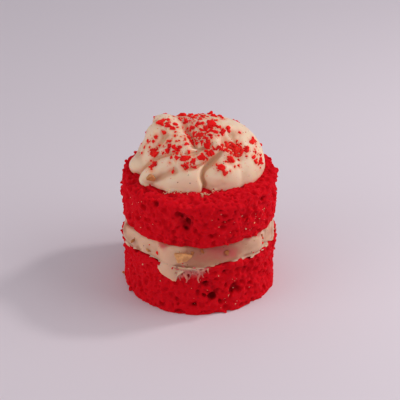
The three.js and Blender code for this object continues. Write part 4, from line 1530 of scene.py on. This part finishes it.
def build_world(settings):
    """Soft light from all round."""
    world = bpy.data.worlds.new("studio")
    bpy.context.scene.world = world
    world.use_nodes = True
    background = world.node_tree.nodes["Background"]
    background.inputs["Color"].default_value = (*settings.room_color, 1)
    background.inputs["Strength"].default_value = settings.room_light


# ---- Settings ----


def color_property(label, description, value):
    """A colour that a user can change."""
    return FloatVectorProperty(
        name=label, description=description, subtype="COLOR", default=value, min=0.0, max=1.0
    )


class FinishSettings(bpy.types.PropertyGroup):
    """Colours of sponge, cream, nuts and specks."""

    # The first two colours are painted shade: the sponge darkened at the bottom of its holes and in
    # its pores.
    deep: color_property("Deep", "Sponge at the bottom of its holes", (0.24, 0.0006, 0.004))
    pore_shade: color_property("Pit", "Sponge deep in its pores", (0.38, 0.0008, 0.005))
    body: color_property("Body", "Most of the sponge", (0.65, 0.0027, 0.010))
    tip: color_property("Tip", "Dry edges of the crumb", (0.86, 0.016, 0.024))
    crumb: color_property("Crumb", "Loose crumbs", (0.92, 0.012, 0.012))
    crumb_tip: color_property("Crumb tip", "Edges of the loose crumbs", (1.0, 0.05, 0.03))
    # The warm colours are painted shade in creases and hollows. The filling's colours are darker
    # than the swirl's, partly as its own colour and partly as painted shade between the discs.
    pale: color_property("Pale", "Swirl cream on its folds", (0.86, 0.635, 0.44))
    shade_warm: color_property("Warm", "Swirl cream in its creases", (0.66, 0.37, 0.21))
    filling_pale_shaded: color_property("Filling pale", "Filling cream", (0.72, 0.43, 0.28))
    filling_shade_warm: color_property("Filling warm", "Filling cream in hollows", (0.46, 0.20, 0.11))
    stain: color_property("Stain", "Swirl cream stained by crumbs", (0.92, 0.30, 0.16))
    film: color_property("Film", "Filling cream stained by the sponge", (0.56, 0.085, 0.075))
    smeared: color_property("Smeared", "Thin film of cream on the sponge", (0.86, 0.34, 0.30))
    nut: color_property("Nut", "Cut faces of the nut", (0.86, 0.43, 0.165))
    nut_skin: color_property("Nut skin", "Skin of the nut", (0.42, 0.135, 0.035))
    speck: color_property("Speck", "Dark specks in the cream", (0.06, 0.025, 0.02))


class SpongeSettings(bpy.types.PropertyGroup):
    """Crumb of the two sponge discs, and the fineness of their meshes."""

    cell: FloatProperty(
        name="Cell", description="Distance between the points the sponge is worked out on",
        default=0.00023, unit="LENGTH",
    )
    relief: FloatProperty(name="Relief", description="Height of the crumb texture", default=1.0)
    pores: IntProperty(name="Pores", description="Small open pores on one side", default=1150)
    grains: IntProperty(name="Grains", description="Crumb grains on one side", default=3400)
    triangles: IntProperty(name="Triangles", description="Most triangles of a disc", default=195000)


class FillingSettings(bpy.types.PropertyGroup):
    """Fineness of the filling's mesh."""

    cell: FloatProperty(
        name="Cell", description="Distance between the points the filling is worked out on",
        default=0.0003, unit="LENGTH",
    )
    triangles: IntProperty(name="Triangles", description="Most triangles", default=110000)


class SwirlSettings(bpy.types.PropertyGroup):
    """Fineness of the swirl's mesh."""

    cell: FloatProperty(
        name="Cell", description="Distance between the points the swirl is worked out on",
        default=0.00026, unit="LENGTH",
    )
    triangles: IntProperty(name="Triangles", description="Most triangles", default=120000)


class StageSettings(bpy.types.PropertyGroup):
    """Floor, lights and camera."""

    floor_size: FloatProperty(
        name="Floor size", description="Side of the square floor", default=3.0, unit="LENGTH",
    )
    floor_color: FloatVectorProperty(
        name="Floor colour", description="Colour of the floor", subtype="COLOR",
        default=(0.75, 0.675, 0.715),
    )
    room_color: FloatVectorProperty(
        name="Room colour", description="Colour of the light from all round", subtype="COLOR",
        default=(0.93, 0.93, 1.0),
    )
    room_light: FloatProperty(
        name="Room light", description="Strength of the light from all round", default=0.46,
    )
    key_power: FloatProperty(
        name="Key power", description="Power of the main light", default=0.42, unit="POWER",
    )
    window_power: FloatProperty(
        name="Window power", description="Power of the wide side light", default=0.62, unit="POWER",
    )
    fill_power: FloatProperty(
        name="Fill power", description="Power of the soft front light", default=0.72, unit="POWER",
    )
    lens: FloatProperty(
        name="Lens", description="Focal length in millimetres", default=132.19, subtype="NONE",
    )
    elevation: FloatProperty(
        name="Elevation", description="Height angle of the camera", default=math.radians(29.6),
        subtype="ANGLE",
    )
    distance: FloatProperty(
        name="Distance", description="From the camera to its target", default=0.48, unit="LENGTH",
    )
    target: FloatVectorProperty(
        name="Target", description="Point in the middle of the picture", unit="LENGTH",
        default=(0.000229, 0.0, 0.0286), precision=5,
    )


class CakeSettings(bpy.types.PropertyGroup):
    """All settings of the cake."""

    finish: PointerProperty(type=FinishSettings)
    sponge: PointerProperty(type=SpongeSettings)
    filling: PointerProperty(type=FillingSettings)
    swirl: PointerProperty(type=SwirlSettings)
    stage: PointerProperty(type=StageSettings)


# ---- Operators ----


class CAKE_OT_stage(bpy.types.Operator):
    """Adds the floor, the lights and the camera."""

    bl_idname = "cake.stage"
    bl_label = "Stage"

    def execute(self, context):
        settings = context.scene.cake.stage
        build_floor(settings)
        build_world(settings)
        powers = (settings.key_power, settings.window_power, settings.fill_power)
        for light, power in zip(LIGHTS, powers):
            build_light(*light, power)
        build_camera(settings)
        context.scene.view_settings.view_transform = "Standard"
        return {"FINISHED"}


class CAKE_OT_finishes(bpy.types.Operator):
    """Makes the materials of sponge, cream, nuts and specks."""

    bl_idname = "cake.finishes"
    bl_label = "Finishes"

    def execute(self, context):
        settings = context.scene.cake.finish
        build_sponge_materials(settings, crumb_finish())
        build_cream_materials(settings, cream_finish())
        build_nut_material(settings)
        build_speck_material(settings)
        return {"FINISHED"}


class CAKE_OT_sponge_discs(bpy.types.Operator):
    """Builds the two open red sponge discs."""

    bl_idname = "cake.sponge_discs"
    bl_label = "Sponge Discs"

    def execute(self, context):
        settings = context.scene.cake.sponge
        for name, node, disc, holes, seed, back_seed in (
            ("sponge_crumb_bottom", "sponge_bottom", BOTTOM_DISC, BOTTOM_HOLES + BOTTOM_KNOBS,
             SEEDS.bottom, SEEDS.bottom_holes),
            ("sponge_crumb_top", "sponge_top", TOP_DISC, TOP_HOLES + TOP_KNOBS,
             SEEDS.top, SEEDS.top_holes),
        ):
            build_sponge(name, node, disc, holes + back_holes(disc, back_seed), seed, settings)
        return {"FINISHED"}


class CAKE_OT_filling(bpy.types.Operator):
    """Builds the cream filling and the film of cream smeared below it."""

    bl_idname = "cake.filling"
    bl_label = "Filling"

    def execute(self, context):
        settings = context.scene.cake.filling
        build_filling(settings)
        build_smear(settings)
        return {"FINISHED"}


class CAKE_OT_swirl(bpy.types.Operator):
    """Builds the piped cream swirl."""

    bl_idname = "cake.swirl"
    bl_label = "Swirl"

    def execute(self, context):
        build_swirl(context.scene.cake.swirl)
        return {"FINISHED"}


class CAKE_OT_nuts(bpy.types.Operator):
    """Adds the nut pieces."""

    bl_idname = "cake.nuts"
    bl_label = "Nuts"

    def execute(self, context):
        build_nuts()
        return {"FINISHED"}


class CAKE_OT_crumbs(bpy.types.Operator):
    """Sprinkles the red crumbs."""

    bl_idname = "cake.crumbs"
    bl_label = "Crumbs"

    def execute(self, context):
        build_crumbs()
        return {"FINISHED"}


class CAKE_OT_bits(bpy.types.Operator):
    """Adds the bits of cream and the dark specks."""

    bl_idname = "cake.bits"
    bl_label = "Bits"

    def execute(self, context):
        build_bits()
        return {"FINISHED"}


OPERATORS = (
    CAKE_OT_stage, CAKE_OT_finishes, CAKE_OT_sponge_discs, CAKE_OT_filling, CAKE_OT_swirl,
    CAKE_OT_nuts, CAKE_OT_crumbs, CAKE_OT_bits,
)


class CAKE_PT_panel(bpy.types.Panel):
    """Lists the cake's pieces and their settings."""

    bl_idname = "CAKE_PT_panel"
    bl_label = "Red Velvet Cake"
    bl_space_type = "VIEW_3D"
    bl_region_type = "UI"
    bl_category = "Cake"

    def draw(self, context):
        for operator in OPERATORS:
            self.layout.operator(operator.bl_idname)
        cake = context.scene.cake
        for group in (cake.stage, cake.finish, cake.sponge, cake.filling, cake.swirl):
            box = self.layout.box()
            for name in group.bl_rna.properties.keys():
                if name not in {"rna_type", "name"}:
                    box.prop(group, name)


GROUPS = (
    FinishSettings, SpongeSettings, FillingSettings, SwirlSettings, StageSettings, CakeSettings,
)
CLASSES = (*GROUPS, *OPERATORS, CAKE_PT_panel)


def register():
    """Registers the classes and puts the settings on the scene."""
    for item in CLASSES:
        bpy.utils.register_class(item)
    bpy.types.Scene.cake = PointerProperty(type=CakeSettings)


def unregister():
    """Takes the settings off the scene and unregisters the classes."""
    del bpy.types.Scene.cake
    for item in reversed(CLASSES):
        bpy.utils.unregister_class(item)


def main():
    """Builds the stage and every piece."""
    register()
    bpy.ops.cake.stage()
    bpy.ops.cake.finishes()
    bpy.ops.cake.sponge_discs()
    bpy.ops.cake.filling()
    bpy.ops.cake.swirl()
    bpy.ops.cake.nuts()
    bpy.ops.cake.crumbs()
    bpy.ops.cake.bits()


if __name__ == "__main__":
    main()
